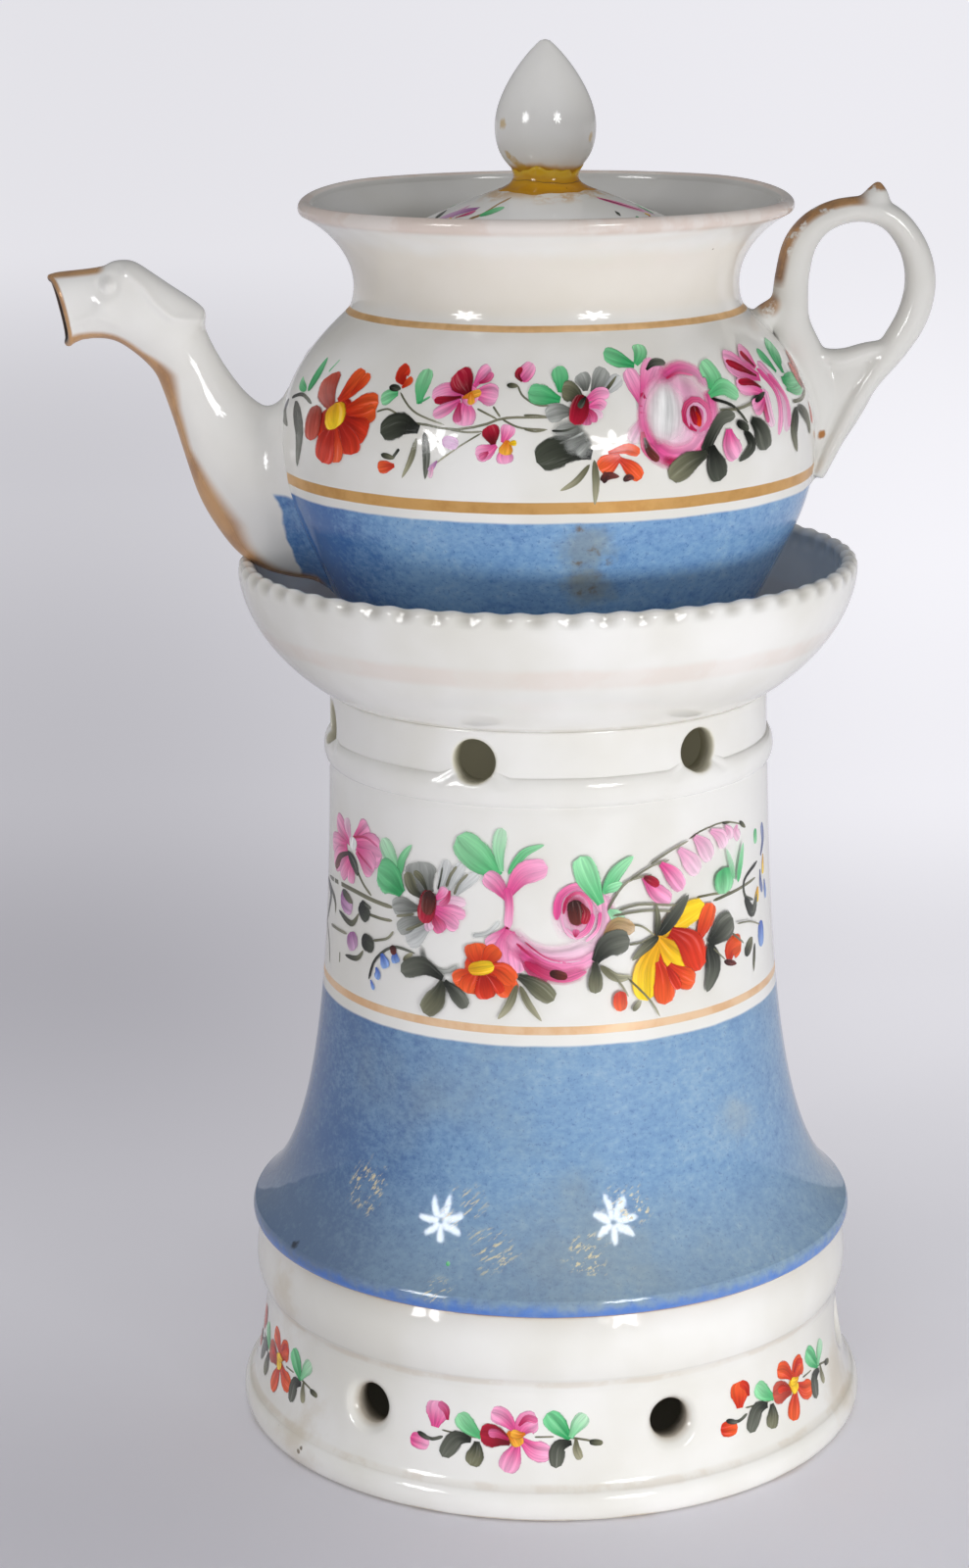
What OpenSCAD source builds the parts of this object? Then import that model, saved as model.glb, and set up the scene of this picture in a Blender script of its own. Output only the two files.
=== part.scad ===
// Porcelain veilleuse: a teapot stands in the bowl of a hollow pedestal, and the
// pedestal lifts off its base to reach a small oil lamp.
// Millimetres. Z is up, the origin is on the axis in the plane of the table,
// +X points to the handle of the teapot and -X to its spout.

/* [Base] */
// Widest diameter of the foot
base_d = 116; // [108:1:130]
// Height of the ledge that carries the pedestal
base_h = 37; // [35:1:46]
// Wall thickness of the base
base_wall = 3.6; // [3:0.2:5]
// Height of the painted band above the table
base_band_h = 22.4; // [21:0.2:24]
// How much narrower the top of the band is than the foot, on the radius
base_band_in = 4.8; // [3:0.2:6]
// Number of air holes
base_vents = 6; // [4:1:8]
// Diameter of an air hole
base_vent_d = 7; // [5:0.5:9]
// Diameter of the dish around an air hole
base_dish_d = 10; // [9.5:0.5:12]
// Height of the air holes
base_vent_z = 15.6; // [15:0.2:16.4]

/* [Pedestal] */
// Height of the pedestal, from the ledge to the bowl
pedestal_h = 100; // [90:1:120]
// Diameter of the column below its bead
column_d = 79.2; // [74:0.4:84]
// Wall thickness of the pedestal
column_wall = 3.4; // [2.8:0.2:4.4]
// Number of smoke holes
column_vents = 6; // [4:1:8]
// Diameter of a smoke hole
column_vent_d = 7.6; // [5:0.2:9]

/* [Bowl] */
// How far the rim of the bowl stands in from the edge of the skirt
bowl_in = 0.4; // [0:0.1:3]
// Height of the bowl
bowl_h = 23.5; // [20:0.5:23.5]
// Wall thickness of the bowl
bowl_wall = 3; // [2.4:0.2:4]
// Diameter of the opening in the floor of the bowl
bowl_opening_d = 55.6; // [48:0.4:58]

/* [Teapot] */
// Widest diameter of the body
belly_d = 94.7; // [90:0.1:100]
// Height of the widest place above the foot
belly_h = 39.2; // [37:0.2:44]
// Height of the shoulder above the widest place
shoulder_h = 23.9; // [22:0.1:27]
// Outside diameter of the neck
neck_d = 67.4; // [64:0.2:70]
// Height of the neck
neck_h = 18.2; // [17:0.2:22]
// Diameter of the rim
rim_d = 86.3; // [82:0.1:92]
// Wall thickness of the teapot
pot_wall = 3; // [2.4:0.2:3.6]
// Width of the ledge that carries the lid
lid_ledge_w = 2.9; // [2:0.1:4]
// Diameter of a strainer hole behind the spout
strainer_d = 3; // [2:0.2:3.4]

/* [Spout] */
// How far the lip stands beyond the body
spout_reach = 40; // [36:0.5:46]
// How far the brow stands above the widest place of the body
spout_rise = 32.5; // [30:0.5:36]
// Width of the spout where it leaves the body
spout_w = 21; // [18:0.5:23]
// Wall thickness of the spout
spout_wall = 2.2; // [1.8:0.1:2.6]

/* [Handle] */
// How far the ring of the handle stands beyond the body
handle_reach = 21; // [19:0.5:26]
// How far the top of the handle stands above the widest place of the body
handle_rise = 42; // [40:0.5:46]
// Thickness of the handle at its foot
handle_t = 12; // [11:0.5:13]
// Depth of the handle from front to back
handle_depth = 7; // [6:0.2:9]

/* [Lid] */
// Height of the dome above the ledge
dome_h = 13; // [11:0.5:16]
// Thickness of the lid
lid_wall = 2.8; // [2.2:0.2:3.4]
// Depth of the locating ring under the lid
lid_ring_h = 4; // [3:0.5:6]
// Height of the finial
finial_h = 24.4; // [21:0.2:30]
// Widest diameter of the finial
finial_d = 17.6; // [15:0.2:20]
// Diameter of the neck of the finial
finial_neck_d = 10.2; // [9:0.2:12]

/* [Lamp] */
// Diameter of the mouth of the lamp cup
lamp_d = 42; // [38:1:50]
// Height of the lamp cup
lamp_h = 22; // [20:1:26]
// Wall thickness of the lamp cup
lamp_wall = 2.4; // [2:0.2:3]
// Diameter of the cork float
float_d = 20; // [16:1:22]
// Thickness of the cork float
float_h = 5; // [4:0.5:7]
// Diameter of the wick
wick_d = 2; // [1.6:0.1:2.4]

/* [Fits] */
// Clearance between pieces that lift apart
fit_gap = 0.4; // [0.3:0.1:0.6]
// Thickness of the joint between pieces that are stuck together
joint_gap = 0.05; // [0.03:0.01:0.1]

/* [Hidden] */
$fn = 96;
porcelain = "#f0efea";

// Base: foot roll, hollowed band, shoulder and ledge
base_r = base_d / 2;
foot_roll_r = 1.6;
foot_roll_h = 5.6;
foot_ring_w = 5.5;
foot_recess = 2.6;
foot_bevel = 1;
band_r = base_r - base_band_in;
shoulder_in = 3;
shoulder_r = base_r - shoulder_in;
floor_t = 4.6;
floor_top = foot_recess + floor_t;
lamp_recess = 1.2;
lamp_room = 1;
well_r = band_r - base_wall;
well_corner_r = 5;
well_top_out = 0.8;
ledge_t = 4;
base_vent_turn = 22;
dish_depth = 1.4;
dish_h = 4.6;

// Skirt of the pedestal, which stands on the ledge around the collar
skirt_in = 2.5;
skirt_r = base_r - skirt_in;
skirt_lip = 4;
skirt_edge_r = 1.2;
skirt_edge_h = 3.8;
edge_turn = 50;
lip_in_r = skirt_r - skirt_lip;
ledge_in = 2.2;
ledge_r = skirt_r - ledge_in;
collar_in = 4.5;
collar_r = lip_in_r - collar_in;
collar_t = 3;
collar_h = 3.5;
collar_bevel = 0.8;

// Column
column_r = column_d / 2;
bead_h = 5.2;
bead_out = 1.2;
bead_gap = 1.7;
smoke_collar_h = 8.1;
smoke_collar_in = 0.3;
smoke_collar_r = column_r - smoke_collar_in;
bowl_z = base_h + pedestal_h;
bead_z = bowl_z - smoke_collar_h - bead_h / 2;
column_top = bead_z - bead_h / 2 - bead_gap;
column_vent_drop = 5.5;
column_vent_z = bowl_z - column_vent_drop;
column_vent_turn = -20;

// Bowl
bowl_r = skirt_r - bowl_in;
bowl_floor_t = 4.3;
bowl_opening_r = bowl_opening_d / 2;
pot_z = bowl_z + bowl_floor_t;

// Teapot
belly_r = belly_d / 2;
belly_z = pot_z + belly_h;
neck_r = neck_d / 2;
neck_z = belly_z + shoulder_h;
rim_r = rim_d / 2;
rim_z = neck_z + neck_h;
rim_t = 2.4;
pot_foot_in = 14.4;
pot_foot_r = belly_r - pot_foot_in;
pot_ring_r = bowl_opening_r - fit_gap;
pot_ring_t = 3.2;
pot_ring_h = 3.8;
pot_ring_bevel = 0.7;
pot_floor = pot_z + pot_wall;
neck_wall = 2.2;
lid_z = neck_z + 0.45 * neck_h;
throat_bevel = 1;

// Spout, drawn at a reach of 40, a rise of 32.5 and a width of 21
spout_out = spout_reach / 40;
spout_up = spout_rise / 32.5;
spout_wide = spout_w / 21;
strainer_drop = 8.5;
strainer_z = belly_z - strainer_drop;
strainer_pitch = 4.4;

// Handle, drawn at a reach of 21, a rise of 42 and a thickness of 12
handle_out = handle_reach / 21;
handle_up = handle_rise / 42;
handle_thick = handle_t / 12;
tail_swell = 0.4;
spur_foot_r = 2.6;
spur_tip_r = 0.4;
spur_h = 4.2;

// Lamp and float
lamp_r = lamp_d / 2;
lamp_foot_in = 4;
lamp_foot_r = lamp_r - lamp_foot_in;
lamp_foot_bevel = 1;
lamp_z = floor_top - lamp_recess;
lamp_ring_r = 4.4;
lamp_wire_r = 1.4;
lamp_ring_sink = 0.6;
float_r = float_d / 2;
float_z = lamp_z + lamp_wall;
float_bore_r = wick_d / 2 + 1;
plate_t = 0.6;
plate_out = 0.4;
tube_h = 3;
tube_t = 0.5;
wick_r = wick_d / 2;
wick_start = 1;
wick_above = 3;

// Curve through four control points
function curve(a, b, c, d, n = 12) = [
    for (i = [0:n]) let (t = i / n, s = 1 - t)
        s * s * s * a + 3 * s * s * t * b + 3 * s * t * t * c + t * t * t * d
];

// Part of an ellipse, between two angles
function arc(middle, size, from, to, n = 8) = [
    for (i = [0:n]) let (w = from + (to - from) * i / n)
        middle + [size[0] * cos(w), size[1] * sin(w)]
];

// A rising outline moved inwards, square to itself
function inset(p, t) = [
    for (i = [0:len(p) - 1])
        let (run = p[min(i + 1, len(p) - 1)] - p[max(i - 1, 0)], d = run / norm(run))
            p[i] + t * [-d[1], d[0]]
];

function reversed(p) = [for (i = [len(p) - 1:-1:0]) p[i]];

// Radius of an outline at a height, and height at a radius
function radius_at(p, z) = lookup(z, [for (q = p) [q[1], q[0]]]);
function height_at(p, r) = lookup(r, [for (q = p) [q[0], q[1]]]);

// Smooth run through a list of stations
function between(a, b, c, d, t) =
    0.5 * (2 * b + (c - a) * t + (2 * a - 5 * b + 4 * c - d) * t * t
           + (3 * b - a - 3 * c + d) * t * t * t);
function smooth(p, n) = concat(
    [for (i = [0:len(p) - 2], k = [0:n - 1])
        between(p[max(i - 1, 0)], p[i], p[i + 1], p[min(i + 2, len(p) - 1)], k / n)],
    [p[len(p) - 1]]
);

// Oval ring of points around the line from low to high, in the plane of the axis
function oval(low, high, half_depth, n) = [
    for (i = [0:n - 1]) let (w = 360 * i / n, mid = (low + high) / 2, half = (high - low) / 2)
        [mid[0] + half[0] * cos(w), half_depth * sin(w), mid[1] + half[1] * cos(w)]
];

// Closed skin over a row of rings
module skin(rings) {
    n = len(rings[0]);
    last = len(rings) - 1;
    polyhedron(
        points = [for (ring = rings) each ring],
        faces = concat(
            [[for (i = [0:n - 1]) i]],
            [for (k = [0:last - 1], i = [0:n - 1]) [k * n + i, (k + 1) * n + i, k * n + (i + 1) % n]],
            [for (k = [0:last - 1], i = [0:n - 1])
                [(k + 1) * n + i, (k + 1) * n + (i + 1) % n, k * n + (i + 1) % n]],
            [[for (i = [n - 1:-1:0]) last * n + i]]
        )
    );
}

// Holes that point outwards, spread evenly from an angle right of the front
module radial_holes(count, turn, z, from, d1, d2, length) {
    for (i = [0:count - 1])
        rotate(turn - 90 + i * 360 / count)
            translate([from, 0, z])
                rotate([0, 90, 0])
                    cylinder(d1 = d1, d2 = d2, h = length);
}

// Outlines of the outside, from the bottom up
band_curve = curve(
    [base_r - foot_roll_r, foot_roll_h],
    [base_r - foot_roll_r - 1.5, foot_roll_h + 3.2],
    [band_r + 0.9, base_band_h - 7.9],
    [band_r, base_band_h]
);
shoulder_curve = concat(
    curve([band_r, base_band_h + 0.1], [band_r, base_band_h + 1.2],
          [shoulder_r - 1.2, base_band_h + 1.6], [shoulder_r - 0.6, base_band_h + 1.9], 5),
    curve([shoulder_r - 0.5, base_band_h + 2], [shoulder_r + 0.3, base_band_h + 4.4],
          [shoulder_r + 0.2, base_h - 4.6], [ledge_r + 0.2, base_h - 0.6])
);
skirt_curve = curve(
    [skirt_r - 0.5, base_h + 3.4],
    [column_r + 6.4, base_h + 11],
    [column_r + 1.1, base_h + 29],
    [column_r, column_top],
    28
);
bowl_curve = curve(
    [smoke_collar_r + 0.1, bowl_z],
    [smoke_collar_r + 6.9, bowl_z + 3.5],
    [bowl_r - 0.1, bowl_z + 12.6],
    [bowl_r, bowl_z + bowl_h - bowl_wall / 2],
    16
);
lower_curve = curve(
    [pot_foot_r, pot_z + 0.2],
    [pot_foot_r + 5.2, pot_z + 0.44 * belly_h],
    [belly_r, pot_z + 0.64 * belly_h],
    [belly_r, belly_z],
    16
);
upper_curve = curve(
    [belly_r, belly_z],
    [belly_r, belly_z + 0.48 * shoulder_h],
    [neck_r + 7.4, belly_z + 0.75 * shoulder_h],
    [neck_r + 0.9, neck_z],
    16
);
neck_curve = curve(
    [neck_r + 0.9, neck_z],
    [neck_r - 1, neck_z + 0.2 * neck_h],
    [neck_r - 0.6, neck_z + 0.61 * neck_h],
    [rim_r - 1, rim_z - rim_t],
    16
);
pot_curve = concat(lower_curve, upper_curve);

// Seat of the lid inside the neck
neck_inside = inset(neck_curve, neck_wall);
lid_seat_r = radius_at(neck_inside, lid_z);
throat_r = lid_seat_r - lid_ledge_w;
lid_r = lid_seat_r - fit_gap;
lid_ring_r = throat_r - fit_gap;
finial_z = lid_z + dome_h;
finial_neck_r = finial_neck_d / 2;
finial_r = finial_d / 2;
finial_tip_r = 0.8;
finial_wide_z = finial_z + 0.4 * finial_h;
lid_edge_h = 1.8;
lid_ring_t = 2.4;
lid_ring_bevel = 0.5;
cement_out = 3.6;
cement_h = 2.6;
dome_curve = curve(
    [lid_r, lid_z + lid_edge_h],
    [0.68 * lid_r, lid_z + 0.54 * dome_h],
    [0.38 * lid_r, lid_z + 0.85 * dome_h],
    [finial_neck_r, finial_z],
    14
);
finial_curve = concat(
    [[finial_neck_r, finial_z]],
    curve([finial_neck_r, finial_z + 1.2], [finial_neck_r, finial_z + 2.8],
          [finial_r, finial_z + 3.5], [finial_r, finial_wide_z], 10),
    curve([finial_r, finial_wide_z], [finial_r, finial_wide_z + 5.5],
          [0.41 * finial_r, finial_z + 0.9 * finial_h],
          [finial_tip_r, finial_z + finial_h - 0.2], 12)
);

module base_plinth() {
    well_top = base_h - ledge_t;
    color(porcelain)
    difference() {
        rotate_extrude()
            polygon(concat(
                [[0, foot_recess],
                 [base_r - foot_roll_r - foot_ring_w - foot_bevel, foot_recess],
                 [base_r - foot_roll_r - foot_ring_w, 0]],
                arc([base_r - foot_roll_r, foot_roll_h / 2], [foot_roll_r, foot_roll_h / 2], -90, 90),
                band_curve,
                shoulder_curve,
                [[ledge_r, base_h], [collar_r, base_h],
                 [collar_r, base_h + collar_h - collar_bevel],
                 [collar_r - collar_bevel, base_h + collar_h],
                 [collar_r - collar_t + collar_bevel, base_h + collar_h],
                 [collar_r - collar_t, base_h + collar_h - collar_bevel]],
                curve([collar_r - collar_t, well_top], [collar_r + 1.5, well_top],
                      [well_r + well_top_out, well_top - 1.5],
                      [well_r + well_top_out, well_top - 6], 8),
                arc([well_r - well_corner_r, floor_top + well_corner_r],
                    [well_corner_r, well_corner_r], 0, -90),
                [[lamp_foot_r + lamp_room, floor_top], [lamp_foot_r + lamp_room, lamp_z],
                 [0, lamp_z]]
            ));
        radial_holes(base_vents, base_vent_turn, base_vent_z, well_r - base_wall,
                     base_vent_d, base_vent_d, base_r);
        radial_holes(base_vents, base_vent_turn, base_vent_z, band_r - dish_depth,
                     base_vent_d, 2 * base_dish_d - base_vent_d, dish_h);
    }
}

module pedestal_column() {
    inside = [for (p = inset(skirt_curve, column_wall)) if (p[0] < lip_in_r) p];
    color(porcelain)
    difference() {
        rotate_extrude()
            polygon(concat(
                [[lip_in_r, base_h]],
                arc([skirt_r - skirt_edge_r, base_h + skirt_edge_h / 2],
                    [skirt_edge_r, skirt_edge_h / 2], -90, edge_turn),
                skirt_curve,
                arc([smoke_collar_r, bead_z], [bead_out, bead_h / 2], -90, 90),
                [[smoke_collar_r, bowl_z], [smoke_collar_r - column_wall, bowl_z]],
                reversed(inside)
            ));
        radial_holes(column_vents, column_vent_turn, column_vent_z, column_r - 2 * column_wall,
                     column_vent_d, column_vent_d, 4 * column_wall);
    }
}

module pedestal_bowl() {
    inside = inset(bowl_curve, bowl_wall);
    hollow = [for (p = inside) if (p[1] > pot_z) p];
    color(porcelain)
    rotate_extrude()
        polygon(concat(
            [[bowl_opening_r, bowl_z]],
            bowl_curve,
            arc([bowl_r - bowl_wall / 2, bowl_z + bowl_h - bowl_wall / 2],
                [bowl_wall / 2, bowl_wall / 2], 0, 180),
            reversed(hollow),
            [[radius_at(inside, pot_z), pot_z], [bowl_opening_r, pot_z]]
        ));
}

module teapot_body() {
    lower_inside = inset(lower_curve, pot_wall);
    upper_inside = inset(upper_curve, pot_wall);
    neck_hollow = [for (p = neck_inside) if (p[1] > lid_z && p[1] < rim_z - 1.5 * rim_t) p];
    hollow = [for (p = lower_inside) if (p[1] > pot_floor) p];
    throat_z = upper_inside[len(upper_inside) - 1][1] + throat_bevel;
    color(porcelain)
    difference() {
        rotate_extrude()
            polygon(concat(
                [[0, pot_z], [pot_ring_r - pot_ring_t - 1, pot_z],
                 [pot_ring_r - pot_ring_t, pot_z - pot_ring_h],
                 [pot_ring_r - pot_ring_bevel, pot_z - pot_ring_h],
                 [pot_ring_r, pot_z - pot_ring_h + pot_ring_bevel], [pot_ring_r, pot_z],
                 [pot_foot_r, pot_z]],
                pot_curve,
                neck_curve,
                arc([rim_r - rim_t / 2, rim_z - rim_t / 2], [rim_t / 2, rim_t / 2], -edge_turn, 180),
                reversed(neck_hollow),
                [[lid_seat_r, lid_z], [throat_r, lid_z], [throat_r, throat_z]],
                reversed(upper_inside),
                reversed(hollow),
                [[radius_at(lower_inside, pot_floor), pot_floor], [0, pot_floor]]
            ));
        translate([-belly_r, 0, strainer_z])
            rotate([0, 90, 0]) {
                cylinder(d = strainer_d, h = 2.5 * pot_wall, center = true);
                for (i = [0:5])
                    rotate(60 * i)
                        translate([0, strainer_pitch, 0])
                            cylinder(d = strainer_d, h = 2.5 * pot_wall, center = true);
            }
    }
}

// Outside of the teapot, grown by the thickness of the joint
module pot_outside() {
    grown = inset(pot_curve, -joint_gap);
    rotate_extrude()
        polygon(concat([[0, bowl_z], [pot_foot_r + joint_gap, bowl_z]], grown, [[0, neck_z]]));
}

// Each station: reach and height of the under side, reach and height of the upper
// side, and half the width. Reach counts from the widest place of the body.
spout_stations = [
    [-10.4, -22, -7.4, 7, 10.5],
    [1.2, -21.6, 1.2, 6.7, 9.6],
    [8, -17, 4.6, 7.6, 8.2],
    [13.4, -10.2, 6.4, 9.7, 7.2],
    [17.2, -0.5, 9, 13.4, 6.4],
    [20, 9, 11.4, 18.1, 6],
    [23.4, 14.7, 13.8, 24.1, 6.3],
    [26.7, 18.3, 20.6, 29.6, 6.8],
    [30.7, 19.5, 27.6, 32.5, 6.4],
    [34.2, 19, 34.4, 31, 5.7],
    [37.4, 17.8, 40, 30.1, 5.6]
];
bore_end = [41, 17, 43.6, 29.4, 5.6];

function spout_ring(s, wall) =
    let (low = [-belly_r - s[0] * spout_out, belly_z + s[1] * spout_up],
         high = [-belly_r - s[2] * spout_out, belly_z + s[3] * spout_up],
         in = wall * (high - low) / norm(high - low))
        oval(low + in, high - in, s[4] * spout_wide - wall, 20);

module teapot_spout() {
    color(porcelain)
    difference() {
        skin([for (s = smooth(spout_stations, 3)) spout_ring(s, 0)]);
        skin([for (s = smooth(concat(spout_stations, [bore_end]), 3)) spout_ring(s, spout_wall)]);
        pot_outside();
    }
}

// Each station: reach and height of the middle of the limb, half its thickness
// and the angle across it.
ring_stations = [
    [2, 8, 3.5, 215],
    [-1.5, 13.6, 4, 205],
    [-5.4, 21, 5, 200],
    [-4.6, 25, 3.3, 182],
    [-4.4, 29, 3.05, 178],
    [-2.9, 34.5, 2.9, 160],
    [0.7, 38.4, 2.5, 128],
    [6.5, 40.1, 2.2, 90],
    [12.4, 38.8, 2.2, 55],
    [16.5, 34, 2.4, 22],
    [18.1, 28, 2.8, -2],
    [16.8, 21.6, 3.1, -24],
    [12.8, 16.1, 3.1, -40],
    [8.6, 12.4, 3, -45]
];
tail_stations = [
    [11.6, 14.8, 2.4, -45],
    [6.3, 10.6, 5.2, -48],
    [2.6, 6, 6, -42],
    [-0.6, -0.6, 4.8, -30],
    [-4.6, -9.5, 2.6, -15]
];
spur_station = [9.6, 40.4];

function limb_ring(s, half_depth) =
    let (mid = [belly_r + s[0] * handle_out, belly_z + s[1] * handle_up],
         across = s[2] * handle_thick * [cos(s[3]), sin(s[3])])
        oval(mid - across, mid + across, half_depth, 14);

module teapot_handle() {
    color(porcelain)
    difference() {
        union() {
            skin(reversed([for (s = smooth(ring_stations, 3)) limb_ring(s, handle_depth / 2)]));
            skin(reversed([for (s = smooth(tail_stations, 3))
                limb_ring(s, handle_depth / 2 + tail_swell)]));
            translate([belly_r + spur_station[0] * handle_out, 0, belly_z + spur_station[1] * handle_up])
                cylinder(r1 = spur_foot_r, r2 = spur_tip_r, h = spur_h, $fn = 24);
        }
        pot_outside();
    }
}

module lid_cover() {
    inside = [for (p = inset(reversed(dome_curve), -lid_wall)) if (p[0] < lid_ring_r - lid_ring_t) p];
    color(porcelain)
    rotate_extrude()
        polygon(concat(
            [[0, finial_z], [0, finial_z - lid_wall]],
            inside,
            [[lid_ring_r - lid_ring_t, lid_z - lid_ring_h],
             [lid_ring_r - lid_ring_bevel, lid_z - lid_ring_h],
             [lid_ring_r, lid_z - lid_ring_h + lid_ring_bevel], [lid_ring_r, lid_z], [lid_r, lid_z]],
            dome_curve
        ));
}

module lid_finial() {
    color(porcelain)
    rotate_extrude()
        polygon(concat([[0, finial_z]], finial_curve, [[0, finial_z + finial_h]]));
}

module finial_cement() {
    foot = finial_neck_r + cement_out;
    top = finial_z + cement_h;
    color("#c89a3c")
    rotate_extrude()
        polygon(concat(
            [for (i = [0:4]) let (r = finial_neck_r + joint_gap + i * (cement_out - joint_gap) / 4)
                [r, height_at(dome_curve, r) + joint_gap]],
            curve([foot, height_at(dome_curve, foot) + 0.3], [finial_neck_r + 1.4, finial_z + 0.2],
                  [finial_neck_r + 0.9, finial_z + 0.8], [radius_at(finial_curve, top) + 0.5, top], 8),
            [for (z = [top, finial_z + 2, finial_z + 1.2]) [radius_at(finial_curve, z) + joint_gap, z]]
        ));
}

// Outside of the lamp cup, from the foot up
lamp_curve = curve(
    [lamp_foot_r, lamp_z + lamp_foot_bevel],
    [lamp_foot_r + 1.5, lamp_z + 0.4 * lamp_h],
    [lamp_r - 1, lamp_z + 0.6 * lamp_h],
    [lamp_r, lamp_z + lamp_h - lamp_wall / 2]
);

module lamp_cup() {
    inside = inset(lamp_curve, lamp_wall);
    color(porcelain)
    rotate_extrude()
        polygon(concat(
            [[0, lamp_z], [lamp_foot_r - lamp_foot_bevel, lamp_z]],
            lamp_curve,
            arc([lamp_r - lamp_wall / 2, lamp_z + lamp_h - lamp_wall / 2],
                [lamp_wall / 2, lamp_wall / 2], 0, 180),
            reversed([for (p = inside) if (p[1] > float_z + 1) p]),
            [[radius_at(inside, float_z + 1) - 1, float_z], [0, float_z]]
        ));
}

module lamp_handle() {
    ring_z = lamp_z + 0.55 * lamp_h;
    color(porcelain)
    difference() {
        translate([radius_at(lamp_curve, ring_z) + lamp_ring_r - lamp_ring_sink, 0, ring_z])
            rotate([90, 0, 0])
                rotate_extrude($fn = 48)
                    translate([lamp_ring_r, 0])
                        circle(lamp_wire_r, $fn = 24);
        rotate_extrude()
            polygon(concat([[0, lamp_z]], inset(lamp_curve, -joint_gap), [[0, lamp_z + lamp_h]]));
    }
}

module float_cork() {
    color("#b98a58")
    translate([0, 0, float_z])
        difference() {
            cylinder(r = float_r, h = float_h);
            translate([0, 0, -1])
                cylinder(r = float_bore_r, h = float_h + 2);
        }
}

module float_plate() {
    color("#b9bcc0")
    translate([0, 0, float_z + float_h])
        difference() {
            union() {
                cylinder(r = float_r + plate_out, h = plate_t);
                cylinder(r = wick_r + joint_gap + tube_t, h = tube_h);
            }
            translate([0, 0, -1])
                cylinder(r = wick_r + joint_gap, h = tube_h + 2);
        }
}

module float_wick() {
    color("#e8dfc8")
    translate([0, 0, float_z + wick_start])
        cylinder(r = wick_r, h = float_h + tube_h + wick_above - wick_start);
}

base_plinth();
pedestal_column();
pedestal_bowl();
teapot_body();
teapot_spout();
teapot_handle();
lid_cover();
lid_finial();
finial_cement();
lamp_cup();
lamp_handle();
float_cork();
float_plate();
float_wick();
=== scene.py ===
# %% [markdown]
# # A porcelain veilleuse, step by step
#
# A veilleuse is a bedside tea warmer: a teapot sits in the bowl of a hollow pedestal, and a small oil
# lamp burns in the base. The CAD frame already has every piece at its real size and place. This lesson
# rebuilds the pieces smooth enough for a close look, glazes them, and paints the flowers on them.

# %% Load the frame
import math
import random

import bmesh
import bpy
from mathutils import Matrix, Vector


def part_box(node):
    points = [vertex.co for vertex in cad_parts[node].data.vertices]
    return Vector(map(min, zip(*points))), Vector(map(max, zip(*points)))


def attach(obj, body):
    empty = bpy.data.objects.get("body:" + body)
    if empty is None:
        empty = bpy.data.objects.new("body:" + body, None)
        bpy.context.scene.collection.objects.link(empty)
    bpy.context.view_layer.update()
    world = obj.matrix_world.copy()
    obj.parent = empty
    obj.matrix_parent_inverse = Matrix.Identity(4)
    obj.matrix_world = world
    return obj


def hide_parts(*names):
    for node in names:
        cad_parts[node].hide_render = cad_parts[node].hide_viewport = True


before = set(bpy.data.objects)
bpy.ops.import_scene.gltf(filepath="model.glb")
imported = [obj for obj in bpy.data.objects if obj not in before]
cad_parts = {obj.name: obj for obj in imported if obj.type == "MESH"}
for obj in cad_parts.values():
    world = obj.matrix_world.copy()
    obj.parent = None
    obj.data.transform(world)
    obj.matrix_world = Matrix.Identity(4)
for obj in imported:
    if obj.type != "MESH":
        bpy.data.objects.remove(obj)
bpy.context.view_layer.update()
MM = 0.001

# %% [markdown]
# ## Camera
#
# The picture is taken a little from above with a long lens. A camera in Blender looks down its own -Z,
# so it is first tipped up to the horizon less the tilt, and then rolled about its line of sight.

# %% Place the camera
PICTURE = (989, 1600)
FOCAL_PIXELS = 3445
SENSOR = 36
CAMERA_PLACE = (-11.6, -593.3, 271.4)
TILT_DOWN = math.radians(14.5)
ROLL = math.radians(-0.54)

bpy.ops.object.select_all(action="DESELECT")
bpy.ops.object.camera_add(location=[c * MM for c in CAMERA_PLACE])
camera = bpy.context.object
turn = Matrix.Rotation(math.pi / 2 - TILT_DOWN, 4, "X") @ Matrix.Rotation(ROLL, 4, "Z")
camera.rotation_euler = turn.to_euler()
camera.data.sensor_width = SENSOR
camera.data.lens = SENSOR * FOCAL_PIXELS / max(PICTURE)
camera.data.clip_start = 0.01
bpy.context.scene.camera = camera
print("lens", round(camera.data.lens, 1), "mm")

# %% [markdown]
# ## Sizes
#
# The frame gives the box of each node, and the outlines below hang from those boxes: radii and heights
# in millimetres, measured from the axis and from the table.

# %% Read the driving sizes from the frame


def low_z(node):
    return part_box(node)[0].z / MM


def high_z(node):
    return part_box(node)[1].z / MM


def half_depth(node):
    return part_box(node)[1].y / MM


base_r = half_depth("base_plinth")
ledge_z = low_z("pedestal_column")
skirt_r = half_depth("pedestal_column")
bowl_z = low_z("pedestal_bowl")
bowl_top = high_z("pedestal_bowl")
bowl_r = half_depth("pedestal_bowl")
belly_r = half_depth("teapot_body")
rim_z = high_z("teapot_body")
finial_z = low_z("lid_finial")
finial_top = high_z("lid_finial")
finial_r = half_depth("lid_finial")
lamp_z = low_z("lamp_cup")
lamp_top = high_z("lamp_cup")
print("base", round(base_r, 2), "belly", round(belly_r, 2), "rim at", round(rim_z, 2))

# %% [markdown]
# ## Outlines
#
# Porcelain like this is thrown and turned, so most pieces are one outline spun round the axis. An outline
# is a list of (radius, height) points: curves through control points, arcs, and corners. A glaze never
# leaves a sharp corner, so every corner is rounded before it is spun.

# %% Outline helpers


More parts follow.
